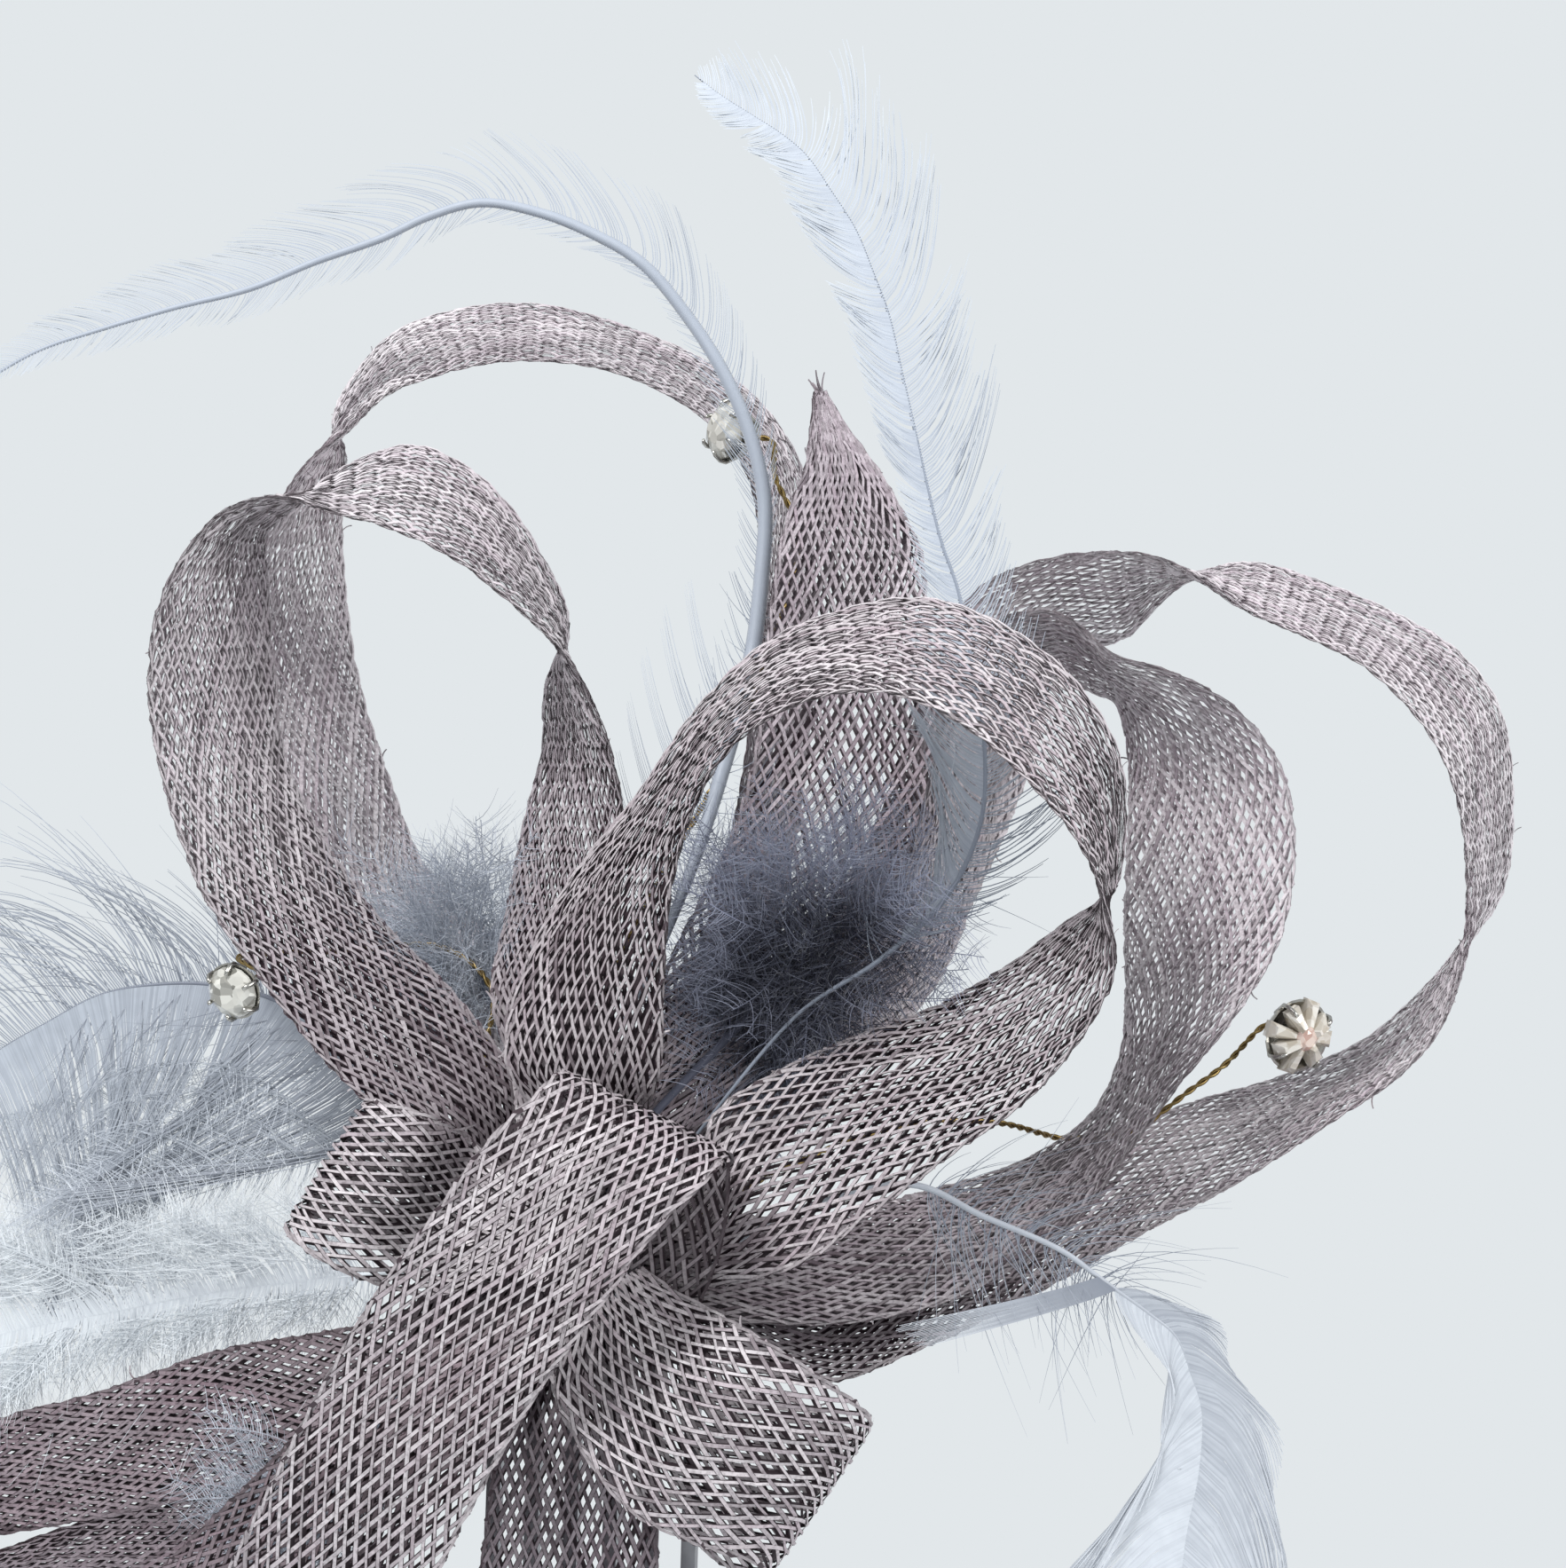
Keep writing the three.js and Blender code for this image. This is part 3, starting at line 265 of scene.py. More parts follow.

# Woven strips. span is how far a strip goes sideways, up and back, as shares of the reach. from and to are
# its ends on the post: the layer, the turn round the post, and where they are unusual the widths and how far
# out they lie. pitch is how far apart strands start along the strip, turns how many pitches a strand takes
# from edge to edge, outer and inner the shades of a strand's two faces, near how much darker they are by the
# post, as painted shade. outer and inner are set strip by strip: the inner face's darkness is partly the
# straw's own dye and partly painted shade between the two layers, and strips that lie low, under others or
# close to the post are darker as painted shade. Each row is a place as shares of the span, then the turn, tip
# and share of the width
STRIPS = {
    "loop_back_left": {
        "span": (0.4, 1.12, 0.47), "from": (3, 86, (0.42, 0.42, 0.42)), "to": (2, 122),
        "pitch": 2.5, "turns": 17, "outer": 1.0, "inner": 1.0, "near": 0.3, "straw": STRAW_PALE,
        "rows": (
            (0.09, 0.195, 0.17, 5, 40, 0.5), (0.31, 0.28, 0.38, 7, 62, 0.8),
            (0.44, 0.425, 0.6, 12, 67, 0.9), (0.5, 0.57, 0.73, 12, 72, 1), (0.52, 0.72, 0.85, 18, 73, 1),
            (0.485, 0.84, 0.935, 33, 72, 1), (0.325, 0.92, 0.98, 61, 71, 1), (0.005, 0.98, 1, 89, 70, 1),
            (-0.33, 1, 1, 100, 66, 1), (-0.63, 0.975, 0.955, 124, 65, 1), (-0.77, 0.937, 0.915, 139, 71, 1),
            (-0.855, 0.89, 0.87, 141, 77, 1), (-0.89, 0.853, 0.83, 57, 81, 1),
            (-0.95, 0.785, 0.79, 23, 73, 1), (-0.995, 0.7, 0.785, 14, 61, 1),
            (-0.98, 0.6, 0.765, 11, 54, 1), (-0.88, 0.49, 0.72, 12, 54, 1),
            (-0.74, 0.39, 0.66, 18, 54, 0.9), (-0.505, 0.3, 0.51, 27, 45, 0.8),
        ),
    },
    "loop_left": {
        "span": (0.45, 0.9, 0.125), "from": (4, 140), "to": (8, 100),
        "pitch": 2.5, "turns": 17, "outer": 0.87, "inner": 0.6, "near": 1.9, "straw": STRAW_PALE,
        "rows": (
            (-0.355, 0.22, -0.29, 30, 29, 0.65), (-0.53, 0.315, -0.08, 31, 39, 0.8),
            (-0.715, 0.415, 0.16, 26, 55, 0.95), (-0.865, 0.52, 0.32, 24, 58, 1),
            (-0.97, 0.65, 0.48, 8, 61, 1), (-1, 0.765, 0.56, 6, 61, 1), (-0.99, 0.88, 0.68, 13, 69, 1),
            (-0.93, 0.95, 0.72, -12, 84, 1), (-0.82, 0.98, 0.76, 116, 88, 1),
            (-0.68, 0.995, 0.8, 104, 72, 1), (-0.525, 1, 0.8, 86, 62, 1), (-0.35, 0.957, 0.84, 78, 64, 1),
            (-0.205, 0.88, 0.88, 73, 73, 1), (-0.12, 0.81, 0.96, 86, 83, 1), (-0.115, 0.75, 1, 177, 77, 1),
            (-0.085, 0.665, 1, 181, 68, 1), (-0.09, 0.565, 0.88, 181, 52, 0.85),
            (-0.115, 0.455, 0.6, 181, 44, 0.78), (-0.13, 0.34, 0, 177, 25, 0.65),
            (-0.1, 0.265, -0.17, 177, 25, 0.56),
        ),
    },
    "loop_front": {
        "span": (0.56, 0.71, 0.14), "from": (9, 90), "to": (8, 5),
        "pitch": 3.1, "turns": 16, "outer": 0.96, "inner": 0.34, "near": 1.2, "straw": STRAW_SHADED_NEAR,
        "rows": (
            (-0.035, 0.34, -0.62, 177, 20, 0.78), (-0.015, 0.485, -0.5, 177, 37, 0.85),
            (0.04, 0.63, -0.535, 177, 54, 0.85), (0.135, 0.765, -0.68, 171, 70, 0.85),
            (0.23, 0.875, -0.785, 138, 74, 0.95), (0.355, 0.955, -0.855, 113, 70, 1),
            (0.485, 0.99, -0.93, 96, 66, 1), (0.62, 0.995, -0.965, 80, 60, 1),
            (0.76, 0.95, -0.965, 69, 57, 1), (0.89, 0.865, -0.93, 59, 57, 1),
            (0.975, 0.77, -0.855, 50, 63, 1), (1, 0.695, -0.785, 39, 72, 1), (1, 0.62, -0.75, -1, 82, 1),
            (0.965, 0.54, -0.715, 140, 78, 1), (0.885, 0.46, -0.715, 149, 67, 1),
            (0.75, 0.37, -0.75, 139, 57, 1), (0.6, 0.305, -0.785, 131, 50, 1),
            (0.45, 0.235, -0.855, 124, 34, 0.9), (0.3, 0.155, -0.965, 121, 28, 0.85),
        ),
    },
    "loop_right": {
        "span": (0.7, 0.71, 0.18), "from": (5, 42, (0.42, 0.4, 0.38)), "to": (2, 0),
        "pitch": 2.6, "turns": 17, "outer": 1.0, "inner": 1.0, "near": 1.3, "straw": STRAW_PALE,
        "rows": (
            (0.32, 0.33, 0.44, -30, 22, 0.5), (0.5, 0.5, 0.83, -28, 50, 0.6),
            (0.567, 0.68, 0.86, -25, 52, 0.62), (0.607, 0.83, 0.83, -28, 55, 0.7),
            (0.645, 0.94, 0.93, -38, 54, 0.8), (0.695, 0.995, 0.945, -51, 61, 0.9),
            (0.755, 1.005, 0.86, -65, 69, 1), (0.805, 0.98, 0.805, -65, 72, 1),
            (0.835, 0.957, 0.75, -62, 76, 1), (0.89, 0.92, 0.72, -116, 73, 1),
            (0.945, 0.86, 0.72, -143, 59, 1), (0.985, 0.775, 0.72, -161, 45, 1),
            (0.995, 0.655, 0.72, -171, 40, 1), (0.98, 0.53, 0.695, -178, 47, 1),
            (0.945, 0.425, 0.64, -184, 63, 1), (0.89, 0.32, 0.52, -198, 78, 1),
            (0.825, 0.225, 0.39, -206, 82, 1), (0.72, 0.135, 0.22, -221, 72, 0.9),
            (0.565, 0.065, -0.055, -242, 54, 0.75), (0.37, 0.025, -0.36, -255, 39, 0.6),
        ),
    },
    "loop_outer_right": {
        "span": (1.05, 0.81, 0.33), "from": (4, 54, (0.42, 0.4, 0.38)), "to": (1, -14),
        "pitch": 2.6, "turns": 17, "outer": 1.0, "inner": 0.95, "near": 1.7, "straw": STRAW_PALE,
        "rows": (
            (0.18, 0.25, 0.27, -35, 14, 0.45), (0.295, 0.43, 0.64, -33, 14, 0.6),
            (0.37, 0.615, 0.8, -26, 18, 0.65), (0.42, 0.78, 0.9, -26, 28, 0.72),
            (0.46, 0.915, 0.94, -39, 50, 0.9), (0.51, 0.95, 0.94, -57, 60, 1),
            (0.578, 0.968, 0.94, -65, 65, 1), (0.622, 0.99, 0.94, -57, 77, 1),
            (0.66, 0.997, 0.94, 12, 84, 1), (0.72, 0.985, 0.955, 61, 72, 1), (0.8, 0.95, 0.97, 59, 68, 1),
            (0.88, 0.903, 0.985, 45, 65, 1), (0.947, 0.838, 1, 42, 60, 1), (0.988, 0.76, 1, 35, 59, 1),
            (1.004, 0.643, 0.97, 20, 64, 1), (0.998, 0.523, 0.94, -1, 70, 1),
            (0.97, 0.438, 0.91, -6, 82, 1), (0.93, 0.355, 0.848, 69, 85, 1),
            (0.876, 0.289, 0.788, 112, 84, 1), (0.78, 0.227, 0.667, 129, 79, 1),
            (0.68, 0.173, 0.545, 110, 71, 1), (0.565, 0.116, 0.394, 113, 64, 0.95),
            (0.44, 0.047, 0.182, 116, 58, 0.9), (0.316, -0.016, -0.03, 115, 51, 0.8),
            (0.212, -0.053, -0.12, 105, 32, 0.65),
        ),
    },
    "tail_peak": {
        "span": (0.28, 1.02, 0.19), "from": (6, 75),
        "pitch": 2.6, "turns": 16, "outer": 0.9, "inner": 0.3, "near": 1.1, "straw": STRAW_SHADED_MID,
        "rows": (
            (0.34, 0.235, -0.08, -10, 14, 0.65), (0.64, 0.357, 0.4, -8, 4, 0.82),
            (0.91, 0.486, 0.74, -4, 12, 0.95), (0.995, 0.606, 0.947, -2, 23, 0.95),
            (1, 0.732, 1, 4, 28, 0.9), (1.01, 0.805, 1, 3, 31, 0.85), (0.987, 0.858, 1, 2, 23, 0.62),
            (0.97, 0.908, 1, 1, 25, 0.4), (0.913, 0.96, 1, -1, 26, 0.18), (0.874, 1, 1, 6, 45, 0.05),
        ),
    },
    "knot_fold_front": {
        "span": (0.33, 0.38, 0.28), "from": (10, 55, (0.5, 0.5, 0.6, 0.72), (-7, -2, 3, 8)),
        "pitch": 3.2, "turns": 16, "outer": 0.94, "inner": 0.0, "near": 0.5, "straw": STRAW_SHADED_NEAR,
        "rows": (
            (0.155, 0.45, -0.465, -20, -12, 0.86), (0.165, 0.525, -0.62, -25, -12, 0.86),
            (0.14, 0.52, -0.8, -28, -8, 0.86), (0.09, 0.475, -0.91, -28, -5, 0.86),
            (-0.05, 0.36, -0.98, -26, 0, 0.86), (-0.235, 0.145, -1, -27, 0, 0.86),
            (-0.43, -0.09, -0.965, -25, 0, 0.86), (-0.65, -0.42, -0.875, -24, 0, 0.86),
            (-0.84, -0.74, -0.75, -24, 0, 0.86), (-1, -1.01, -0.61, -25, 0, 0.86),
        ),
    },
    "knot_fold_left": {
        "span": (0.3, 0.14, 0.152), "from": (9, 172, (0.42, 0.55, 0.75)),
        "to": (6, 172, (0.42, 0.44, 0.46)),
        "pitch": 3.1, "turns": 15, "outer": 0.94, "inner": 0.0, "near": 0.4, "straw": STRAW_SHADED_NEAR,
        "rows": (
            (-0.76, 0.78, -0.95, -119, -14, 0.82), (-0.94, 0.94, -0.86, -122, -10, 0.76),
            (-1, 1, -0.75, -122, -8, 0.7), (-0.94, 0.94, -0.63, -122, -6, 0.62),
            (-0.76, 0.75, -0.6, -119, -5, 0.52),
        ),
    },
    "loop_lower_right": {
        "span": (0.24, 0.25, 0.22), "from": (9, 300, (0.42, 0.6, 0.8)), "to": (6, 305, (0.42, 0.48, 0.55)),
        "pitch": 3.2, "turns": 15, "outer": 0.96, "inner": 0.0, "near": 0.5, "straw": STRAW_SHADED_NEAR,
        "rows": (
            (0.42, -0.49, -1.02, -131, -6, 0.97), (0.745, -0.69, -0.955, -130, -3, 0.95),
            (0.995, -0.845, -0.795, -126, 0, 0.85), (0.965, -0.94, -0.66, -124, 0, 0.85),
            (0.715, -0.8, -0.635, -126, -5, 0.82), (0.39, -0.58, -0.7, -128, -14, 0.7),
        ),
    },
    "loop_side_left": {
        "span": (0.84, 0.39, 0.2), "from": (2, 200), "to": (1, 222),
        "pitch": 2.6, "turns": 17, "outer": 0.75, "inner": 0.1, "near": 0.5, "straw": STRAW_SHADED_DEEP,
        "rows": (
            (-0.235, -0.29, -0.2, 108, 5, 0.7), (-0.355, -0.37, 0, 104, 0, 0.72),
            (-0.51, -0.43, 0.25, 100, -5, 0.68), (-0.675, -0.545, 0.5, 103, -10, 0.62),
            (-0.83, -0.635, 0.7, 104, -15, 0.6), (-0.94, -0.72, 0.85, 112, -35, 0.62),
            (-1, -0.85, 0.95, 125, -65, 0.7), (-0.96, -0.975, 1, 118, -80, 0.7),
            (-0.87, -0.985, 1, 112, -60, 0.66), (-0.74, -0.93, 0.9, 112, -40, 0.62),
            (-0.6, -0.855, 0.75, 115, -25, 0.6), (-0.43, -0.71, 0.45, 120, -12, 0.55),
        ),
    },
    "under_strip_left": {
        "span": (0.47, 0.42, 0.18), "from": (5, 235),
        "pitch": 2.6, "turns": 17, "outer": 0.66, "inner": 0.0, "near": 0.5, "straw": STRAW_SHADED_DEEP,
        "rows": (
            (-0.46, -0.38, -0.97, 145, 0, 0.7), (-0.65, -0.61, -0.83, 140, 0, 0.75),
            (-0.855, -0.835, -0.61, 138, 0, 0.75), (-1, -1, -0.39, 138, 0, 0.75),
        ),
    },
    "under_strip_down": {
        "span": (0.04, 0.41, 0.16), "from": (3, 265),
        "pitch": 2.6, "turns": 17, "outer": 0.7, "inner": 0.0, "near": 0.9, "straw": STRAW_SHADED_MID,
        "rows": (
            (-0.56, -0.335, -0.78, 180, 0, 0.7), (-0.67, -0.565, -0.9, 178, 0, 0.78),
            (-0.79, -0.8, -0.97, 177, 0, 0.82), (-0.9, -1, -0.905, 177, 0, 0.82),
        ),
    },
}

# Feathers. Each pair is for the side left of the shaft, seen from its root, and for the side right of it.
# spacing and wide are a barb's pitch and width, gaps the share of barbs missing near the root, sweep how
# far barbs lean towards the tip, spread their length against the vane's, loose how unevenly they lie,
# lock how long the locks are that they cling in, down the fine hairs a millimetre of barb carries, root
# and tip their shades, shaft its thickness and shade, strays the loose hairs: from, to, how many, how long
# and their shade, and locks the barbs that lie apart: from, side, how many, over what length, how long,
# their sweep, how late it bends them, and their shade. No barbs grow below bare, above it the vane opens
# over the share opens, and least is its least width. Each row is a place and the vane's two widths
FEATHERS = {
    "feather_tall_left": {
        "span": (0.77, 1.25, 0.3), "vane": 0.09, "from": (7, 112),
        "spacing": (0.42, 0.36), "wide": 0.1, "gaps": 0.75, "sweep": (1.5, 1.5), "spread": (1.0, 1.05),
        "loose": (0.3, 0.2), "lock": 6, "root": (0.0, 0.1), "tip": (0.8, 0.8), "bare": 0.1, "opens": 0.08,
        "shaft": (2.0, 0.5), "strays": (0.17, 0.36, 40, 9, 0.0), "barb": BARB_PALE,
        "locks": (
            (0.155, -1, 7, 3.0, 12, 0.9, 1.6, 0.0), (0.18, -1, 8, 3.0, 14, 1.0, 1.6, 0.1),
            (0.205, -1, 8, 3.5, 14, 1.1, 1.6, 0.0), (0.235, -1, 8, 3.0, 13, 1.2, 1.6, 0.1),
            (0.262, -1, 9, 3.5, 12, 1.3, 1.6, 0.0), (0.29, -1, 8, 3.0, 10, 1.5, 1.6, 0.1),
        ),
        "rows": (
            (-0.045, 0.16, -0.07, 0, 0), (0.006, 0.215, 0.02, 0, 0), (0.06, 0.27, 0.09, 0, 0),
            (0.125, 0.365, 0.31, 0.5, 0.1), (0.175, 0.465, 0.47, 0.6, 0.1), (0.215, 0.565, 0.62, 0.45, 0.1),
            (0.23, 0.64, 0.67, 0.4, 0.1), (0.235, 0.71, 0.7, 0.4, 0.2), (0.215, 0.77, 0.71, 0.35, 0.4),
            (0.175, 0.83, 0.73, 0.3, 0.6), (0.12, 0.885, 0.77, 0.25, 0.75), (0.045, 0.94, 0.8, 0.25, 0.85),
            (-0.035, 0.97, 0.83, 0.3, 0.9), (-0.115, 0.99, 0.86, 0.3, 0.9), (-0.205, 1, 0.88, 0.35, 0.85),
            (-0.285, 0.988, 0.9, 0.4, 0.8), (-0.36, 0.967, 0.91, 0.4, 0.75),
            (-0.465, 0.945, 0.93, 0.4, 0.7), (-0.565, 0.92, 0.94, 0.4, 0.6),
            (-0.685, 0.902, 0.96, 0.35, 0.5), (-0.8, 0.882, 0.98, 0.3, 0.4), (-0.9, 0.862, 1, 0.2, 0.3),
            (-1, 0.827, 1, 0, 0),
        ),
    },
    "feather_tall_right": {
        "span": (0.43, 1.39, 0.18), "vane": 0.09, "from": (7, 45),
        "spacing": (0.16, 0.34), "wide": 0.12, "gaps": 0.25, "sweep": (1.1, 1.2), "spread": (1.3, 1.85),
        "loose": (0.28, 0.35), "lock": 5, "down": (0.15, 0), "root": (0.25, -0.1), "tip": (0.85, 0.9),
        "bare": 0.27, "opens": 0.1, "shaft": (0.7, -0.1), "strays": (0.24, 0.36, 12, 14, 0.0),
        "barb": BARB_PALE,
        "rows": (
            (0.51, 0.215, -0.17, 0.1, 0.2), (0.73, 0.26, -0.11, 0.35, 0.4), (0.9, 0.31, -0.05, 0.6, 0.7),
            (0.99, 0.37, 0.05, 0.75, 0.8), (1, 0.435, 0.12, 0.7, 0.5), (0.97, 0.497, 0.19, 0.5, 0.4),
            (0.935, 0.558, 0.28, 0.35, 0.55), (0.89, 0.6, 0.33, 0.3, 0.65), (0.855, 0.645, 0.39, 0.35, 0.6),
            (0.82, 0.695, 0.44, 0.4, 0.6), (0.787, 0.742, 0.5, 0.45, 0.65), (0.753, 0.79, 0.56, 0.5, 0.7),
            (0.71, 0.827, 0.61, 0.5, 0.75), (0.667, 0.861, 0.67, 0.45, 0.75), (0.6, 0.895, 0.72, 0.4, 0.65),
            (0.533, 0.926, 0.78, 0.35, 0.5), (0.465, 0.945, 0.83, 0.3, 0.4),
            (0.386, 0.962, 0.89, 0.25, 0.3), (0.3, 0.98, 0.94, 0.15, 0.2), (0.23, 0.998, 1, 0, 0),
        ),
    },
    "feather_left": {
        "span": (0.78, 0.32, 0.2), "vane": 0.24, "from": (3, 172),
        "spacing": (0.13, 0.3), "wide": 0.12, "sweep": (0.4, 0.9), "spread": (1.45, 1.5),
        "loose": (0.16, 0.6), "lock": 6, "down": (0.24, 0), "root": (0.3, 0.1), "tip": (1.0, 0.75),
        "bare": 0.25, "opens": 0.02, "least": (1.0, 0.36), "shaft": (0.8, 0.2),
        "strays": (0.26, 0.8, 200, 30, 0.3), "barb": BARB_GREY,
        "rows": (
            (-0.3, 0.6, 0.45, 0, 0), (-0.47, 0.93, 0.6, 0.5, 0.15), (-0.58, 1.01, 0.62, 0.8, 0.5),
            (-0.68, 1.01, 0.66, 0.95, 0.9), (-0.76, 0.97, 0.72, 1, 1), (-0.84, 0.87, 0.8, 0.95, 0.95),
            (-0.92, 0.76, 0.9, 0.75, 0.6), (-1, 0.61, 1, 0.4, 0.2),
        ),
    },
    "feather_lower_left": {
        "span": (0.77, 0.14, 0.16), "vane": 0.1, "from": (3, 185),
        "spacing": (0.2, 0.2), "wide": 0.13, "sweep": (0.9, 0.6), "spread": (2.0, 2.3), "loose": (0.5, 0.5),
        "lock": 4, "down": (1.1, 1.1), "root": (0.5, 0.4), "tip": (0.95, 0.95), "bare": 0.3, "opens": 0.02,
        "least": (0.3, 0.5), "shaft": (0.45, 0.95), "strays": (0.25, 0.8, 220, 26, 0.6), "barb": BARB_WHITE,
        "rows": (
            (-0.25, 0.1, -0.33, 0, 0), (-0.37, 0, 0.12, 0, 0), (-0.57, -0.18, 0.5, 0.1, 0.2),
            (-0.76, -0.4, 0.7, 0.4, 0.6), (-0.92, -0.6, 0.88, 0.5, 0.8), (-1, -0.8, 1, 0.2, 0.3),
        ),
    },
    "feather_lower_right": {
        "span": (0.67, 0.39, 0.13), "vane": 0.16, "from": (7, -20),
        "spacing": (0.19, 0.19), "wide": 0.16, "sweep": (1.75, 1.7), "spread": (1.15, 1.3),
        "loose": (0.09, 0.07), "lock": 12, "root": (0.0, 0.6), "tip": (0.8, 1.0), "bare": 0.575,
        "opens": 0.28, "least": (0, 0.45), "shaft": (0.8, 0.6), "strays": (0.34, 0.58, 150, 20, 0.1),
        "barb": BARB_VANE, "locks": ((0.55, 1, 22, 2.6, 18, -0.9, 1.1, 0.15),),
        "rows": (
            (0.3, 0.215, -1, 0, 0), (0.51, 0.3, -0.9, 0, 0), (0.63, 0.21, -0.88, 0, 0),
            (0.76, 0.11, -0.8, 0.05, 0.05), (0.83, 0.02, -0.69, 0.3, 0.15),
            (0.905, -0.075, -0.54, 0.55, 0.2), (0.955, -0.15, -0.46, 0.6, 0.4),
            (0.98, -0.255, -0.38, 0.7, 0.6), (1, -0.37, -0.31, 0.85, 0.75), (0.997, -0.55, -0.23, 1, 0.9),
            (0.978, -0.73, -0.15, 1, 0.95), (0.96, -1, -0.08, 0.7, 0.6),
        ),
    },
}

# Fluff. by is where the stalk passes, and core where it ends. lean is how far the plumes tip forwards,
# heart the darkest place against the core, low how far down the stalk the middle's plumes stand, mixed how
# much the plumes differ in shade, dark and light how the shade grows from the heart outwards, dense and
# hair how many hairs a millimetre of plume carries and their length, and inner how many short plumes fill
# the middle, their length and how far forwards they go. Each fan is a number of plumes, the turn of the
# first and the last, their tip, their length and their curl
FLUFFS = {
    "fluff_centre": {
        "from": (7, 75), "by": (0.06, -0.05, 0.19), "core": (0.23, 0.03, 0.36),
        "lean": -8, "heart": (1, 0, -5), "low": (-8, 0, -12), "mixed": 0.6, "dark": -1.05, "light": 2.2,
        "dense": 2.6, "hair": 4.2, "inner": (240, 0.5, 0.55), "look": FLUFF_DARK,
        "fans": (
            (5, 70, 150, 0, 0.2, 0.06), (4, -5, 55, -4, 0.19, 0.08), (3, 165, 215, -11, 0.16, -0.06),
            (3, 235, 300, -22, 0.14, 0.05),
        ),
    },
    "fluff_left": {
        "from": (3, 137), "by": (-0.08, 0.032, 0.18), "core": (-0.17, 0.2, 0.36),
        "lean": -30, "heart": (0, 0, -3), "low": (0, 0, -3), "mixed": 0.3, "dark": 0.45, "light": 1.2,
        "dense": 2.1, "hair": 5.0, "inner": (70, 1.2, 0.95), "look": FLUFF_PALE,
        "fans": (
            (5, 60, 150, 3, 0.13, 0.06), (3, -30, 40, -4, 0.09, 0.06), (3, 185, 260, -26, 0.1, 0.06),
        ),
    },
    "fluff_lower_left": {
        "from": (3, 205), "by": (-0.2, -0.065, -0.1), "core": (-0.3, -0.055, -0.23),
        "lean": 0, "heart": (0, 0, 0), "low": (0, 0, 0), "mixed": 0.2, "dark": 0.1, "light": 1.0,
        "dense": 3.0, "hair": 3.4, "inner": (10, 0.3, 0.6), "look": FLUFF_PALE,
        "fans": (
            (6, 165, 265, 4, 0.17, 0.07),
        ),
    },
}

# Stones on wires. at is the stone's middle as shares of the reach, facing the turn and tip of its axis, and
# rows are the places its wire runs through
SPRAYS = {
    "left": {
        "stone": ROUND_STONE, "from": (3, 152), "span": (0.45, 0.37, 0.15),
        "at": (-0.41, -0.06, 0.325), "facing": (215, -60),
        "rows": (
            (-0.29, 0.38, 0.12), (-0.31, 0.65, 0.47), (-0.3, 0.865, 0.77), (-0.43, 0.99, 1),
            (-0.7, 0.98, 0.85), (-0.93, 0.97, 0.45),
        ),
    },
    "top": {
        "stone": ROUND_STONE + 1, "from": (7, 125), "span": (0.22, 0.98, 0.28),
        "at": (0.135, 0.28, 0.98), "facing": (170, -35),
        "rows": (
            (-0.15, 0.22, 0.12), (0.1, 0.38, 0.4), (0.6, 0.59, 0.66), (0.9, 0.76, 0.76), (1, 0.85, 0.83),
            (0.98, 0.89, 0.87), (0.88, 0.94, 0.93),
        ),
    },
    "right": {
        "stone": FLOWER_STONE, "from": (7, 12), "span": (0.81, 0.26, 0.21),
        "at": (0.81, 0.19, 0.26), "facing": (-20, -62),
        "rows": (
            (0.22, 0.45, -0.29), (0.4, 0.65, 0), (0.55, 0.64, 0.48), (0.62, 0.57, 0.81), (0.65, 0.54, 0.94),
            (0.71, 0.54, 0.975), (0.76, 0.57, 0.98), (0.84, 0.75, 0.95), (0.89, 0.86, 0.98),
        ),
    },
}


# The seat on the comb, the post's layers, and how a strip is gathered on it
SEAT_OUT = np.array([-0.165, -0.894, 0.417])
SEAT_OUT /= np.linalg.norm(SEAT_OUT)
SEAT_UP = np.array([0.0, 0.0, 1.0]) - SEAT_OUT * SEAT_OUT[2]
SEAT_UP /= np.linalg.norm(SEAT_UP)
SEAT_RIGHT = np.cross(SEAT_UP, SEAT_OUT)
LAYER_PITCH = STRIP_THICK + LAYER_GAP
FIRST_LAYER = COMB_THICK + LAYER_GAP + STRIP_THICK / 2
GATHERED = (0.42, 0.46, 0.5)
GATHERED_AT = (POST_RADIUS + CLEARANCE, POST_RADIUS + 4.5, POST_RADIUS + 8)


def unit(vectors):
    return vectors / np.maximum(np.linalg.norm(vectors, axis=-1, keepdims=True), 1e-9)


def direction(turn, tip):
    turn, tip = math.radians(turn), math.radians(tip)
    return np.array([math.cos(tip) * math.cos(turn), math.sin(tip), math.cos(tip) * math.sin(turn)])


def around(angle, first, second):
    """The way at an angle between two ways that are square to each other."""
    return np.cos(angle)[..., None] * first + np.sin(angle)[..., None] * second


def circle(sides):
    return 2 * math.pi * np.arange(sides) / sides


def seat_direction(turn):
    return SEAT_RIGHT * math.cos(math.radians(turn)) + SEAT_UP * math.sin(math.radians(turn))


def seat_point(layer, turn, reach):
    return SEAT_OUT * (FIRST_LAYER + (layer - 1) * LAYER_PITCH) + seat_direction(turn) * reach


def spot(span, across, up, back):
    """A place given as shares of how far a piece goes sideways, up and back."""
    side, rise, depth = span
    return np.array([across * side, back * depth, up * rise]) * REACH


def strip_seat(towards, layer, turn, widths=GATHERED, reaches=GATHERED_AT):
    """The gathered end of a strip on the post, from the end outwards: middles and half widths."""
    wide = np.cross(SEAT_OUT, seat_direction(turn))
    if wide @ towards < 0:
        wide = -wide
    return [(seat_point(layer, turn, reach), wide * STRIP_WIDTH * width / 2)
            for reach, width in zip(reaches, widths)]


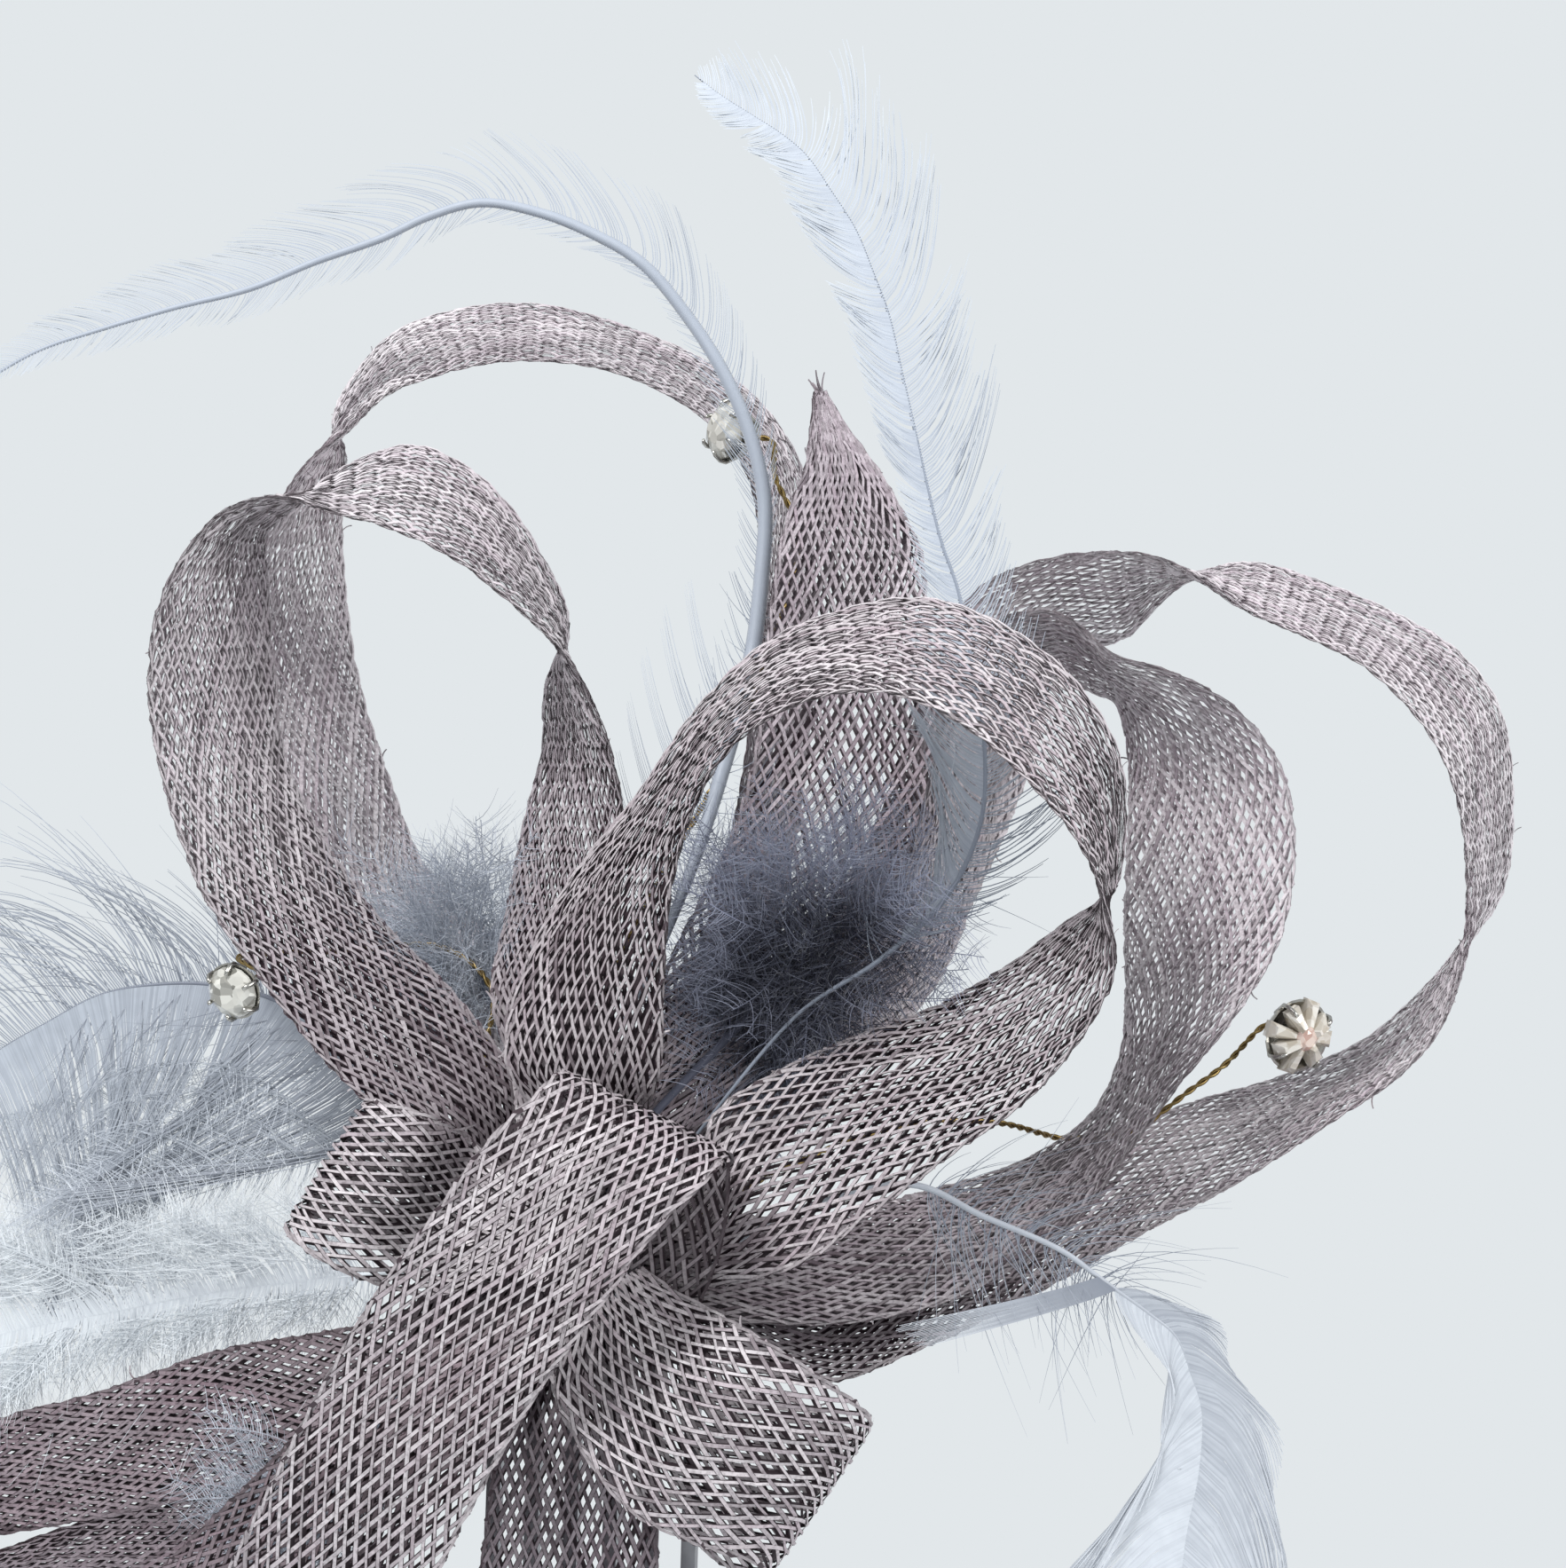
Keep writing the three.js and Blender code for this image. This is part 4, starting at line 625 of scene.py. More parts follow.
def strip_rows(strip):
    rows = [(spot(strip["span"], *place), direction(turn, tip) * STRIP_WIDTH * width / 2)
            for *place, turn, tip, width in strip["rows"]]
    first = strip_seat(rows[0][1], *strip["from"])
    last = strip_seat(rows[-1][1], *strip["to"])[::-1] if "to" in strip else []
    return first + rows + last


def smooth_run(rows, step):
    """Points on a smooth run through rows of (place, values), about a step apart."""
    at = np.array([row[0] for row in rows])
    extra = np.array([row[1] for row in rows])
    both = np.hstack([at, extra])
    knots = np.concatenate([[0], np.cumsum(np.sqrt(np.linalg.norm(np.diff(at, axis=0), axis=1)))])
    change = np.diff(both, axis=0) / np.diff(knots)[:, None]
    slope = np.empty_like(both)
    slope[0], slope[-1] = change[0], change[-1]
    for i in range(1, len(both) - 1):
        mix = (knots[i] - knots[i - 1]) / (knots[i + 1] - knots[i - 1])
        slope[i] = change[i - 1] * (1 - mix) + change[i] * mix
    run = []
    for i in range(len(both) - 1):
        span = knots[i + 1] - knots[i]
        steps = max(1, math.ceil(np.linalg.norm(at[i + 1] - at[i]) / step))
        for t in np.arange(steps + (i == len(both) - 2)) / steps:
            run.append(both[i] * (2 * t**3 - 3 * t**2 + 1) + slope[i] * span * (t**3 - 2 * t**2 + t)
                       + both[i + 1] * (3 * t**2 - 2 * t**3) + slope[i + 1] * span * (t**3 - t**2))
    run = np.array(run)
    return run[:, :3], run[:, 3:]


def square_sides(ways):
    """Two ways square to each way along a path, that turn as little as they can."""
    side = np.array([0.31, 0.87, 0.39])
    sides = []
    for way in ways:
        side = side - way * (side @ way)
        side = side / np.linalg.norm(side)
        sides.append(side)
    return np.array(sides), np.cross(ways, sides)


class Course:
    """A smooth run with what it carries, read at any distance along it."""

    def __init__(self, rows, step=0.8):
        self.at, self.carried = smooth_run(rows, step)
        self.along = np.concatenate([[0], np.cumsum(np.linalg.norm(np.diff(self.at, axis=0), axis=1))])
        self.length = float(self.along[-1])
        self.way = unit(np.gradient(self.at, self.along, axis=0))

    def read(self, table, along):
        along = np.clip(along, 0, self.length)
        return np.stack([np.interp(along, self.along, table[:, k]) for k in range(table.shape[1])], axis=-1)


class StripCourse(Course):
    """A strip's run. It carries half its width, and faces the way through its thickness."""

    def __init__(self, rows):
        super().__init__(rows)
        self.through = unit(np.cross(self.way, self.carried))

    def place(self, along, across):
        """Points at shares of the half width: -1 is one edge and 1 the other."""
        return self.read(self.at, along) + self.read(self.carried, along) * np.reshape(across, (-1, 1))


class ShaftCourse(Course):
    """A feather's shaft. It carries the vane's two widths, and knows up and right of it."""

    def __init__(self, rows):
        super().__init__(rows)
        front = np.array([0.0, -1.0, 0.0])
        self.facing = unit(front - self.way * (self.way @ front)[:, None])
        self.right = np.cross(self.way, self.facing)

    def root(self, along, side, points):
        """Where a barb starts, repeated for each of its points, with its ways ahead, up and out."""
        here = np.full(points, along)
        tables = (self.at, self.way, self.facing, self.right)
        at, ahead, up, out = (self.read(table, here) for table in tables)
        return at, ahead, up, out * side


class Bundle:
    """Many thin ribbons gathered into one mesh, with numbers kept on their points."""

    def __init__(self):
        self.points, self.faces, self.marks, self.count = [], [], [], 0

    def add(self, points, faces, marks):
        self.points.append(points)
        self.faces += [part + self.count for part in faces]
        self.marks.append(marks)
        self.count += len(points)

    def lay(self, paths, normals, width, tone, reach=0.0):
        """Flat ribbons along paths of the same number of points: paths[ribbon, point, axis]."""
        many, n = paths.shape[:2]
        way = unit(np.gradient(paths, axis=1))
        side = unit(np.cross(normals, way)) * (np.broadcast_to(width, (many, n))[..., None] / 2)
        points = np.stack([paths - side, paths + side], axis=2).reshape(-1, 3)
        start = np.arange(many)[:, None] * n + np.arange(n - 1)[None, :]
        marks = np.stack([np.broadcast_to(tone, (many, n)), np.broadcast_to(reach, (many, n))], axis=-1)
        self.add(points, [start.reshape(-1, 1) * 2 + np.array([0, 1, 3, 2])],
                 np.repeat(marks.reshape(-1, 2), 2, axis=0))

    def lay_one(self, path, normal, width, tone, reach=0.0):
        self.lay(path[None], normal[None], width, tone, reach)

    def tube(self, path, radius, sides, tone):
        """A round closed run along a path."""
        n = len(path)
        radius = np.broadcast_to(radius, n)
        side, across = square_sides(unit(np.gradient(path, axis=0)))
        angle = circle(sides)
        rings = [path[i] + radius[i] * around(angle, side[i], across[i]) for i in range(n)]
        points = np.concatenate(rings + [path[:1], path[-1:]])
        ring = np.arange(sides)
        after = (ring + 1) % sides
        faces = [np.stack([ring, after, sides + after, sides + ring], 1) + i * sides for i in range(n - 1)]
        last = (n - 1) * sides
        faces += [np.stack([after, ring, np.full(sides, n * sides)], 1),
                  np.stack([last + ring, last + after, np.full(sides, n * sides + 1)], 1)]
        self.add(points, faces, np.tile([tone, 0.0], (len(points), 1)))

    def band(self, ring, after):
        """A band of faces from one ring of points to the next."""
        many = len(ring)
        here = np.arange(many)
        following = (here + 1) % many
        faces = np.stack([here, following, many + following, many + here], 1)
        self.add(np.concatenate([ring, after]), [faces], np.zeros((2 * many, 2)))

    def piece(self, name, material):
        mesh = bpy.data.meshes.new(name)
        faces = [face for part in self.faces for face in part.tolist()]
        mesh.from_pydata((np.concatenate(self.points) * MM).tolist(), [], faces)
        marks = np.concatenate(self.marks)
        for k, label in enumerate(("tone", "reach")):
            mark = mesh.attributes.new(label, "FLOAT", "POINT")
            mark.data.foreach_set("value", np.ascontiguousarray(marks[:, k], dtype=np.float32))
        mesh.materials.append(material)
        mesh.shade_smooth()
        return placed(mesh)


def placed(mesh):
    made = bpy.data.objects.new(mesh.name, mesh)
    bpy.context.collection.objects.link(made)
    return made


def settle(piece, slot, node):
    """The piece moves with the headpiece and stands for its solid."""
    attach(piece, "root")
    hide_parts(node)


def shade_near_post(path):
    """How much painted shade the straw takes from the post: one close to the post, nought further out."""
    return np.clip((POST_SHADE_TO - np.linalg.norm(path, axis=-1)) / POST_SHADE_FADE, 0, 1)


def weave_strip(name, strip):
    """Two layers of crossing strands that fold back at both edges of the strip."""
    course = StripCourse(strip_rows(strip))
    bundle = Bundle()
    weave_course(bundle, course, strip)
    hem_edges(bundle, course, strip["outer"])
    fray_edges(bundle, course)
    if "to" not in strip:
        fray_end(bundle, course)
    if name == "knot_fold_front":
        line_roll(bundle, strip)
    piece = bundle.piece(name + "_weave", strip["straw"])
    settle(piece, "straw_weave", name)


def weave_course(bundle, course, weave):
    pitch, turns = weave["pitch"], weave["turns"]
    row = np.arange(int(course.length / (pitch / 2)) + 1)
    for first_layer in (1, -1):
        for start in range(2 * turns):
            missing, shift, slow, late, twist, broad, pale, dark, stain, _ = chance.random(10)
            if missing < MISSING:
                continue
            leg, share = np.divmod(row / 2 - start, turns)
            share = share / turns
            forward = leg % 2 == 0
            across = np.where(forward, 2 * share - 1, 1 - 2 * share)
            layer = np.where(forward, first_layer, -first_layer)
            # Over one crossing strand and under the next
            rise = np.where(forward, 1, -1) * np.cos(math.pi * row) * STRAND_RISE
            apart = LAYER_APART * (1 - np.abs(across) ** 10)
            sway = np.sin(row * (0.04 + 0.06 * slow) + 9 * late)
            along = row * pitch / 2 + pitch * ((shift - 0.5) * 0.26 + 0.1 * sway)
            normal = unit(course.read(course.through, along))
            path = course.place(along, across * 0.985) + normal * (layer * apart + rise)[:, None]
            width = STRAND_WIDTH * (0.75 + 0.5 * broad)
            # A strand's own random tone and, for a few, a dark stain, with a painted highlight and shade that
            # wave along it
            tone_and_painted_sheen = 0.2 * (pale - 0.5) + 0.1 * np.sin(row * 0.5 + 8 * shift) * np.sin(row * 1.3)
            if dark < STAINED:
                tone_and_painted_sheen = tone_and_painted_sheen - 0.3
            # Painted shade: both faces of a strand are darkened close to the post
            near = weave["near"] * shade_near_post(path)
            # The inner ribbon takes the strip's inner shade, mostly darker than the outer: partly the straw's
            # own dye and partly painted shade between the two layers
            outer = np.clip(weave["outer"] + tone_and_painted_sheen - 0.3 * near, 0.1, 1)
            inner = np.clip(weave["inner"] + 0.5 * tone_and_painted_sheen - 0.6 * near, 0, 1)
            outward = normal * (layer * STRAND_THICK / 2)[:, None]
            lean = 0.5 * (twist - 0.5) + 0.15 * np.sin(row * 0.6 + 6 * slow)
            face = unit(normal + unit(np.cross(normal, np.gradient(path, axis=0))) * lean[:, None])
            bundle.lay_one(path + outward, face, width * 0.94, outer, stain**2)
            bundle.lay_one(path - outward, face, width * 1.2, inner, stain**2)


def line_roll(bundle, weave):
    """The strip's inside, seen where it turns down behind the top of the roll, drawn dark as painted shade.
    """
    across = direction(-27, -8) * 5.8
    places = ((9.4, -17.6, 17.2), (9.2, -16.8, 12.5), (8.2, -15.8, 7.0), (6.2, -14.8, 1.6))
    lining = StripCourse([(np.array(place), across) for place in places])
    # Painted shade: the lining is drawn far darker than the strip it lines
    dark = {"pitch": 2.7, "turns": 8, "outer": weave["outer"] - 0.55, "inner": 0.0, "near": 0.3}
    weave_course(bundle, lining, dark)
    hem_edges(bundle, lining, dark["outer"])


def hem_edges(bundle, course, shade):
    """Strands that run along both folded edges, wound lightly round each other."""
    along = np.arange(0, course.length, 1.3)
    normal = unit(course.read(course.through, along))
    for edge in (-1, 1):
        for k in range(2):
            turn = along * 2 * math.pi / HEM_TURN + k * math.pi + chance.random()
            path = course.place(along, edge * (0.965 + 0.02 * np.cos(turn)))
            path = path + normal * (HEM_RADIUS * np.sin(turn))[:, None]
            # Painted shade: the hem is darkened close to the post
            tone = np.clip(shade - 0.1 + 0.15 * np.sin(turn) - 0.35 * shade_near_post(path), 0, 1)
            for face in (1, -1):
                bundle.lay_one(path + normal * 0.05 * face, normal, HEM_WIDTH, tone)


def fray_edges(bundle, course):
    """Broken strand ends that stand off the edges."""
    share = np.linspace(0, 1, BROKEN_POINTS)
    for _ in range(int(course.length / 6)):
        where, hand, back, far, out, up, pale = chance.random(7)
        along = np.full(BROKEN_POINTS, 8 + (course.length - 12) * where)
        edge = 1 if hand < 0.5 else -1
        outward = unit(course.read(course.carried, along)) * edge
        way = course.read(course.way, along) * (1 if back < 0.5 else -1)
        lift = course.read(course.through, along)
        reach = 0.6 + 2.2 * far**2
        path = course.place(along, edge * 0.96) + outward * (reach * (out * 0.7 + 0.1) * share)[:, None]
        path = path + way * (reach * share * (1 - 0.4 * share))[:, None]
        path = path + lift * (reach * (up - 0.5) * 1.4 * share**2)[:, None]
        bundle.lay_one(path, unit(lift), BROKEN_WIDTH * (1.1 - 0.5 * share), 0.25 + 0.5 * pale)


def fray_end(bundle, course):
    """Strand ends that stand out of a cut end."""
    share = np.linspace(0, 1, BROKEN_POINTS)
    along = np.full(BROKEN_POINTS, course.length)
    lift = course.read(course.through, along)
    for _ in range(CUT_ENDS):
        where, aside, far, up, pale, _ = chance.random(6)
        lean = unit(course.read(course.carried, along)) * (aside - 0.5) * 1.1
        reach = 0.6 + 3.4 * far**1.5
        path = course.place(along, 2 * where - 1)
        path = path + (course.read(course.way, along) + lean) * (reach * share - 1.5)[:, None]
        path = path + lift * (reach * (up - 0.5) * share**2)[:, None]
        bundle.lay_one(path, unit(lift), CUT_WIDTH * (1.1 - 0.4 * share), 0.4 + 0.5 * pale)


# How thick a shaft is, from its root to its tip: places along it, and shares of its thickness
SHAFT_TAPER = ((0, 0.18, 0.3, 0.55, 1), (0.5, 0.6, 1, 0.75, 0.2))


def add_down(bundle, path, dense, long, shade, curl=1.1):
    """Fine hairs all round a barb. shade takes the hairs' points and gives their shades."""
    along = np.concatenate([[0], np.cumsum(np.linalg.norm(np.diff(path, axis=0), axis=1))])
    count = int(along[-1] * dense)
    if count < 2:
        return
    share = 0.05 + 0.93 * (np.arange(count) + 0.5) / count
    at, way = (np.stack([np.interp(share * along[-1], along, table[:, k]) for k in range(3)], axis=-1)
               for table in (path, unit(np.gradient(path, axis=0))))
    fine = chance.random((count, 4))
    spin = fine[:, 0] * 2 * math.pi
    out = unit(np.cross(way, np.stack([np.cos(spin), np.sin(spin), np.full(count, 0.3)], axis=-1)))
    off = np.cross(out, way)
    length = (long * (0.5 + 0.9 * fine[:, 1]) * (1.1 - 0.45 * share))[:, None, None]
    u = np.linspace(0, 1, DOWN_POINTS)[None, :, None]
    turned = off[:, None] * ((fine[:, 2] - 0.5) * curl)[:, None, None]
    hairs = at[:, None] + (out[:, None] * u + way[:, None] * 0.9 * u**1.4 + turned * u**2) * length
    tone = np.clip(shade(hairs) + 0.3 * (fine[:, 3] - 0.5)[:, None], 0, 1)
    normals = np.repeat(off[:, None], DOWN_POINTS, axis=1)
    bundle.lay(hairs, normals, DOWN_WIDTH * (1.4 - u[..., 0]), tone, tone)


def kept_in(path):
    """The path drawn back towards its root where it would pass the headpiece's left end or lowest point."""
    for axis, end in ((0, LEFT_END), (2, LOW_END)):
        over = path[0, axis] - path[:, axis].min()
        room = path[0, axis] - end
        path = path[0] + (path - path[0]) * min(1.0, max(room, 1.0) / max(over, 1e-6))
    return path


def lay_vane(bundle, course, feather, k, side):
    """The barbs on one side of the shaft."""
    share = np.linspace(0, 1, BARB_POINTS)
    loose, down = feather["loose"][k], feather.get("down", (0, 0))[k]
    least = feather["vane"] * REACH * feather.get("least", (0, 0))[k]
    for along in np.arange(0, course.length, feather["spacing"][k]):
        way_up = along / course.length
        if way_up < feather["bare"]:
            continue
        wide = float(np.interp(along, course.along, course.carried[:, k]))
        wide = max(wide, least * min(1, 4 * (1 - way_up))) * feather["spread"][k]
        wide *= min(1, 0.25 + (way_up - feather["bare"]) / feather["opens"])
        if wide < LEAST_BARB:
            continue
        short, broken, tilt, curly, pale, stub, gap, _ = chance.random(8)
        if gap < feather.get("gaps", 0) * (1 - way_up):
            continue
        lock = math.floor(along / feather["lock"] + 0.6 * side)
        split = math.sin(lock * 2.4) * 0.6 + math.sin(lock * 5.1) * 0.4
        lean = split * loose + (tilt - 0.5) * 0.5 * loose
        reach = wide * (1.0 - 0.7 * loose * short + 0.3 * loose * split)
        if broken < 0.3 * loose:
            reach *= 0.4 + 0.5 * stub
        sweep = reach * (feather["sweep"][k] + 1.2 * lean)
        root, _, up, out = course.root(along, side, BARB_POINTS)
        ahead = unit(course.read(course.way, along + 0.35 * sweep * share))
        curl = ((curly - 0.5) * 0.5 + 0.5 * split) * loose * reach
        path = root + out * (reach * share**0.85)[:, None] + ahead * (sweep * share**1.25)[:, None]
        path = kept_in(path + up * (QUILL_RADIUS * 0.4 + curl * share**2)[:, None])
        # Darker towards the root: partly the feather's own colour and partly painted shade
        shade = feather["root"][k] + (feather["tip"][k] - feather["root"][k]) * way_up
        tone = np.clip(shade + 0.3 * (pale - 0.5), 0, 1)
        bundle.lay_one(path, up, feather["wide"] * (1.4 - 0.9 * share), tone, share * tone)
        if down:
            add_down(bundle, path[1:], down, VANE_DOWN, lambda hairs: np.full(hairs.shape[:2], shade + 0.4))


def lay_strays(bundle, course, first, last, count, long, shade):
    """Loose hairs that stand off the shaft where the vane is open."""
    share = np.linspace(0, 1, STRAY_POINTS)
    down = np.array([0, 0, -1.0])
    for _ in range(count):
        where, hand, far, aside, along, lift, fall, pale = chance.random(8)
        side = 1 if hand < 0.5 else -1
        from_root = course.length * (first + (last - first) * where)
        root, ahead, up, out = course.root(from_root, side, STRAY_POINTS)
        reach = long * (0.3 + 0.7 * far)
        path = root + out * (reach * (0.3 + 0.6 * aside) * share**0.9)[:, None]
        path = path + ahead * (reach * (0.1 + 0.8 * along) * share**1.3)[:, None]
        path = path + up * (reach * (lift - 0.4) * 0.5 * share**2)[:, None]
        path = kept_in(path + down * (reach * 0.3 * (fall - 0.3) * share**2)[:, None])
        tone = np.clip(shade + 0.3 * (pale - 0.5) + 0.2 * share, 0, 1)
        bundle.lay_one(path, up, HAIR_WIDTH * (1.3 - share), tone, 0.5 * share * tone)


def lay_lock(bundle, course, thick, first, side, count, over, long, sweep, bend, shade):
    """Barbs that cling together and lie apart from the vane."""
    share = np.linspace(0, 1, BARB_POINTS)
    for along in course.length * first + over * np.arange(count) / count:
        root, ahead, up, out = course.root(along, side, BARB_POINTS)
        reach = long * (0.9 + 0.1 * chance.random())
        path = root + out * (reach * share)[:, None] + ahead * (reach * sweep * share**bend)[:, None]
        path = path + up * (0.5 + 1.5 * share[:, None] ** 2)
        bundle.lay_one(path, up, thick * (1.3 - share), shade + 0.5 * share, share * 0.6)


def make_feather(name, feather):
    vane = feather["vane"] * REACH
    quill = [(seat_point(*feather["from"], reach), (0.0, 0.0))
             for reach in (POST_RADIUS + CLEARANCE + QUILL_RADIUS, QUILL_END)]
    rows = [(spot(feather["span"], *place), (left * vane, right * vane))
            for *place, left, right in feather["rows"]]
    course = ShaftCourse(quill + rows)
    bundle = Bundle()
    for k, side in enumerate((-1, 1)):
        lay_vane(bundle, course, feather, k, side)
    lay_strays(bundle, course, *feather["strays"])
    for lock in feather.get("locks", ()):
        lay_lock(bundle, course, feather["wide"], *lock)
    taper = np.interp(course.along / course.length, *SHAFT_TAPER)
    thick, shade = feather["shaft"]
    bundle.tube(course.at, QUILL_RADIUS * thick * taper, 8, shade)
    piece = bundle.piece(name + "_barbs", feather["barb"])
    settle(piece, "feather_pale" if "tall" in name else "feather_grey", name)


def make_fluff(name, fluff):
    core = np.array(fluff["core"]) * REACH
    stem = [seat_point(*fluff["from"], reach)
            for reach in (POST_RADIUS + CLEARANCE + QUILL_RADIUS, STEM_END)]
    stalk = Course([(point, (0.0,)) for point in stem + [np.array(fluff["by"]) * REACH, core]])
    bundle = Bundle()
    bundle.tube(stalk.at, QUILL_RADIUS, 8, 0.2)
    whole = max(long for *_, long, _ in fluff["fans"]) * REACH
    heart = core + fluff["heart"]
    t = np.linspace(0, 1, PLUME_POINTS)[:, None]

    def shade(hairs):
        away = np.linalg.norm((hairs - heart) * (1, 0.5, 1), axis=-1) / whole
        return np.clip(fluff["dark"] + fluff["light"] * away, 0, 1)

    def plume(start, way, reach, bend):
        path = start + way * reach * t + bend * t**2
        paler = fluff["mixed"] * (chance.random() - 0.45)
        normal = np.tile(unit(np.cross(way, bend)), (PLUME_POINTS, 1))
        bundle.lay_one(path, normal, 0.1, shade(path) + paler, 0.2)
        add_down(bundle, path, fluff["dense"], fluff["hair"], lambda hairs: shade(hairs) + paler, 1.6)

    for count, first, last, tip, length, curl in fluff["fans"]:
        plumes = count * PLUMES_A_FAN
        long = length * REACH * 1.1
        for i in range(plumes):
            swing, lean, curly, far, _, bent, along, aside, _ = chance.random(9)
            turn = first + (last - first) * i / (plumes - 1) + 40 * (swing - 0.5)
            way = direction(turn, tip + fluff["lean"] + 50 * (lean - 0.5))
            lift = 0.45 * along
            reach = long * (1 - lift) * (0.45 + 0.55 * far)
            bend = direction(turn + 90, 50 * (bent - 0.5)) * (curl + 0.9 * (curly - 0.5)) * reach
            shift = direction(turn + 90, 0) * long * 0.3 * (aside - 0.5)
            plume(core + way * long * lift + shift * min(1, lift * 4), way, reach, bend)
    inner, inner_long, forward = fluff["inner"]
    for _ in range(inner):
        turn, tip, bent, place, off, low = chance.random(6)
        start = core + direction(360 * place, 0) * 4 * off + np.array(fluff["low"]) * low
        way = direction(360 * turn, 90 * (tip - forward))
        plume(start, way, inner_long * whole, direction(360 * bent, 0) * 2.5)
    settle(bundle.piece(name + "_hairs", fluff["look"]), "fluff_dark", name)


def twist_wire(name, spray, end):
    """Two threads of brass wound round each other, from the post to behind the stone."""
    reaches = (POST_RADIUS + CLEARANCE + WIRE_RADIUS, STEM_END)
    points = [seat_point(*spray["from"], reach) for reach in reaches]
    points += [spot(spray["span"], *row) for row in spray["rows"]] + end
    course = Course([(point, (0.0,)) for point in points], 0.5)
    side, across = square_sides(course.way)
    bundle = Bundle()
    for half_turn in (0, math.pi):
        angle = 2 * math.pi * course.along / WIRE_TWIST + half_turn
        bundle.tube(course.at + THREAD_RADIUS * around(angle, side, across), THREAD_RADIUS, 6, 0.5)
    settle(bundle.piece(f"wire_{name}_twist", WIRE_BRASS), "wire_brass", f"wire_{name}")


def join_cuts(name, cuts):
    """One mesh of cut stones. cuts are the corners of each stone and which of the mesh's two looks it has."""
    stones = bmesh.new()
    for corners, look in cuts:
        one = bmesh.new()
        for corner in corners:
            one.verts.new(Vector(corner * MM))
        bmesh.ops.convex_hull(one, input=one.verts)
        for face in one.faces:
            face.material_index = look
        part = bpy.data.meshes.new("cut")
        one.to_mesh(part)
        one.free()
        stones.from_mesh(part)
        bpy.data.meshes.remove(part)
    mesh = bpy.data.meshes.new(name)
    stones.to_mesh(mesh)
    stones.free()
    return mesh


# A round cut stone's rings, table to point: corners, place along its axis, radius, and turn in corners
CUTS = ((8, 0.45, 0.55, 0), (8, 0.28, 0.84, 0.5), (16, 0.05, 1, 0), (16, -0.05, 1, 0), (8, -0.75, 0.1, 0.5))


def make_spray(name, spray):
    radius = spray["stone"] / 2
    at = np.array(spray["at"]) * REACH
    facing = direction(*spray["facing"])
    foot = -radius * 0.75 - CLEARANCE
    base = foot - SETTING_FOOT - CLEARANCE
    twist_wire(name, spray, [at + facing * (base - 2.5), at + facing * base])

    wide = unit(np.cross(facing, [0.2, 0.1, 0.97]))
    tall = np.cross(facing, wide)
    cluster = name == "right"

    def cut_stone(middle, size):
        return [middle + facing * size * along + size * out * around(angle, wide, tall)
                for count, along, out, turn in CUTS
                for angle in 2 * math.pi * (np.arange(count) + turn) / count]

    def petal(angle, high, long):
        """A long cut stone that points away from the middle: away, half width and rise of its corners."""
        out = around(angle, wide, tall)
        side = np.cross(facing, out)
        corners = ((0.25, 0.14, -0.3), (long, 0.23, high - 0.5), (0.25, 0.12, high),
                   (long, 0.25, high - 0.28), (0.38, 0.06, high + 0.14), (long - 0.16, 0.12, high - 0.06))
        return [at + out * radius * away + side * radius * half * hand + facing * radius * rise
                for away, half, rise in corners for hand in (-1, 1)]

    if cluster:
        cuts = [(petal(np.float64(math.pi * k / 4 + 0.13 * math.sin(5 * k)), 0.24 + 0.2 * (k % 2),
                       1.12 - 0.16 * (k % 2)), 0) for k in range(8)]
        cuts.append((cut_stone(at + facing * radius * 0.35, radius * 0.36), 1))
    else:
        cuts = [(cut_stone(at, radius), 0)]
    mesh = join_cuts(f"stone_{name}_cut", cuts)
    mesh.materials.append(STONE_CREAM if cluster else STONE_CLEAR)
    mesh.materials.append(STONE_PINK)
    settle(placed(mesh), "stone_clear", f"stone_{name}")

    cup = Bundle()
    rim = -radius * 0.05 - CLEARANCE
    profile = ((rim, radius * 1.02), (rim, radius * 1.1), (foot, radius * 0.66),
               (foot - SETTING_FOOT, radius * 0.4), (foot - SETTING_FOOT, 0.01), (foot, 0.01),
               (foot, radius * 0.2), (rim, radius * 1.02))
    walls = [at + facing * along + out * around(circle(24), wide, tall) for along, out in profile]
    for ring, after in zip(walls[:-1], walls[1:]):
        cup.band(ring, after)
    prongs = 4 if cluster else 6
    for angle in circle(prongs) + math.pi / prongs:
        out = around(angle, wide, tall)
        claw = np.array([at + facing * along + out * away for along, away in (
            (foot - 0.2, radius * 0.62), (rim, radius * 1.08), (radius * 0.1, radius * 1.07),
            (radius * 0.32, radius * 0.94), (radius * 0.42, radius * 0.8))])
        cup.tube(claw, [0.3, 0.3, 0.28, 0.25, 0.2], 8, 0.5)
    settle(cup.piece(f"setting_{name}_claws", SETTING_SILVER), "setting_silver", f"setting_{name}")


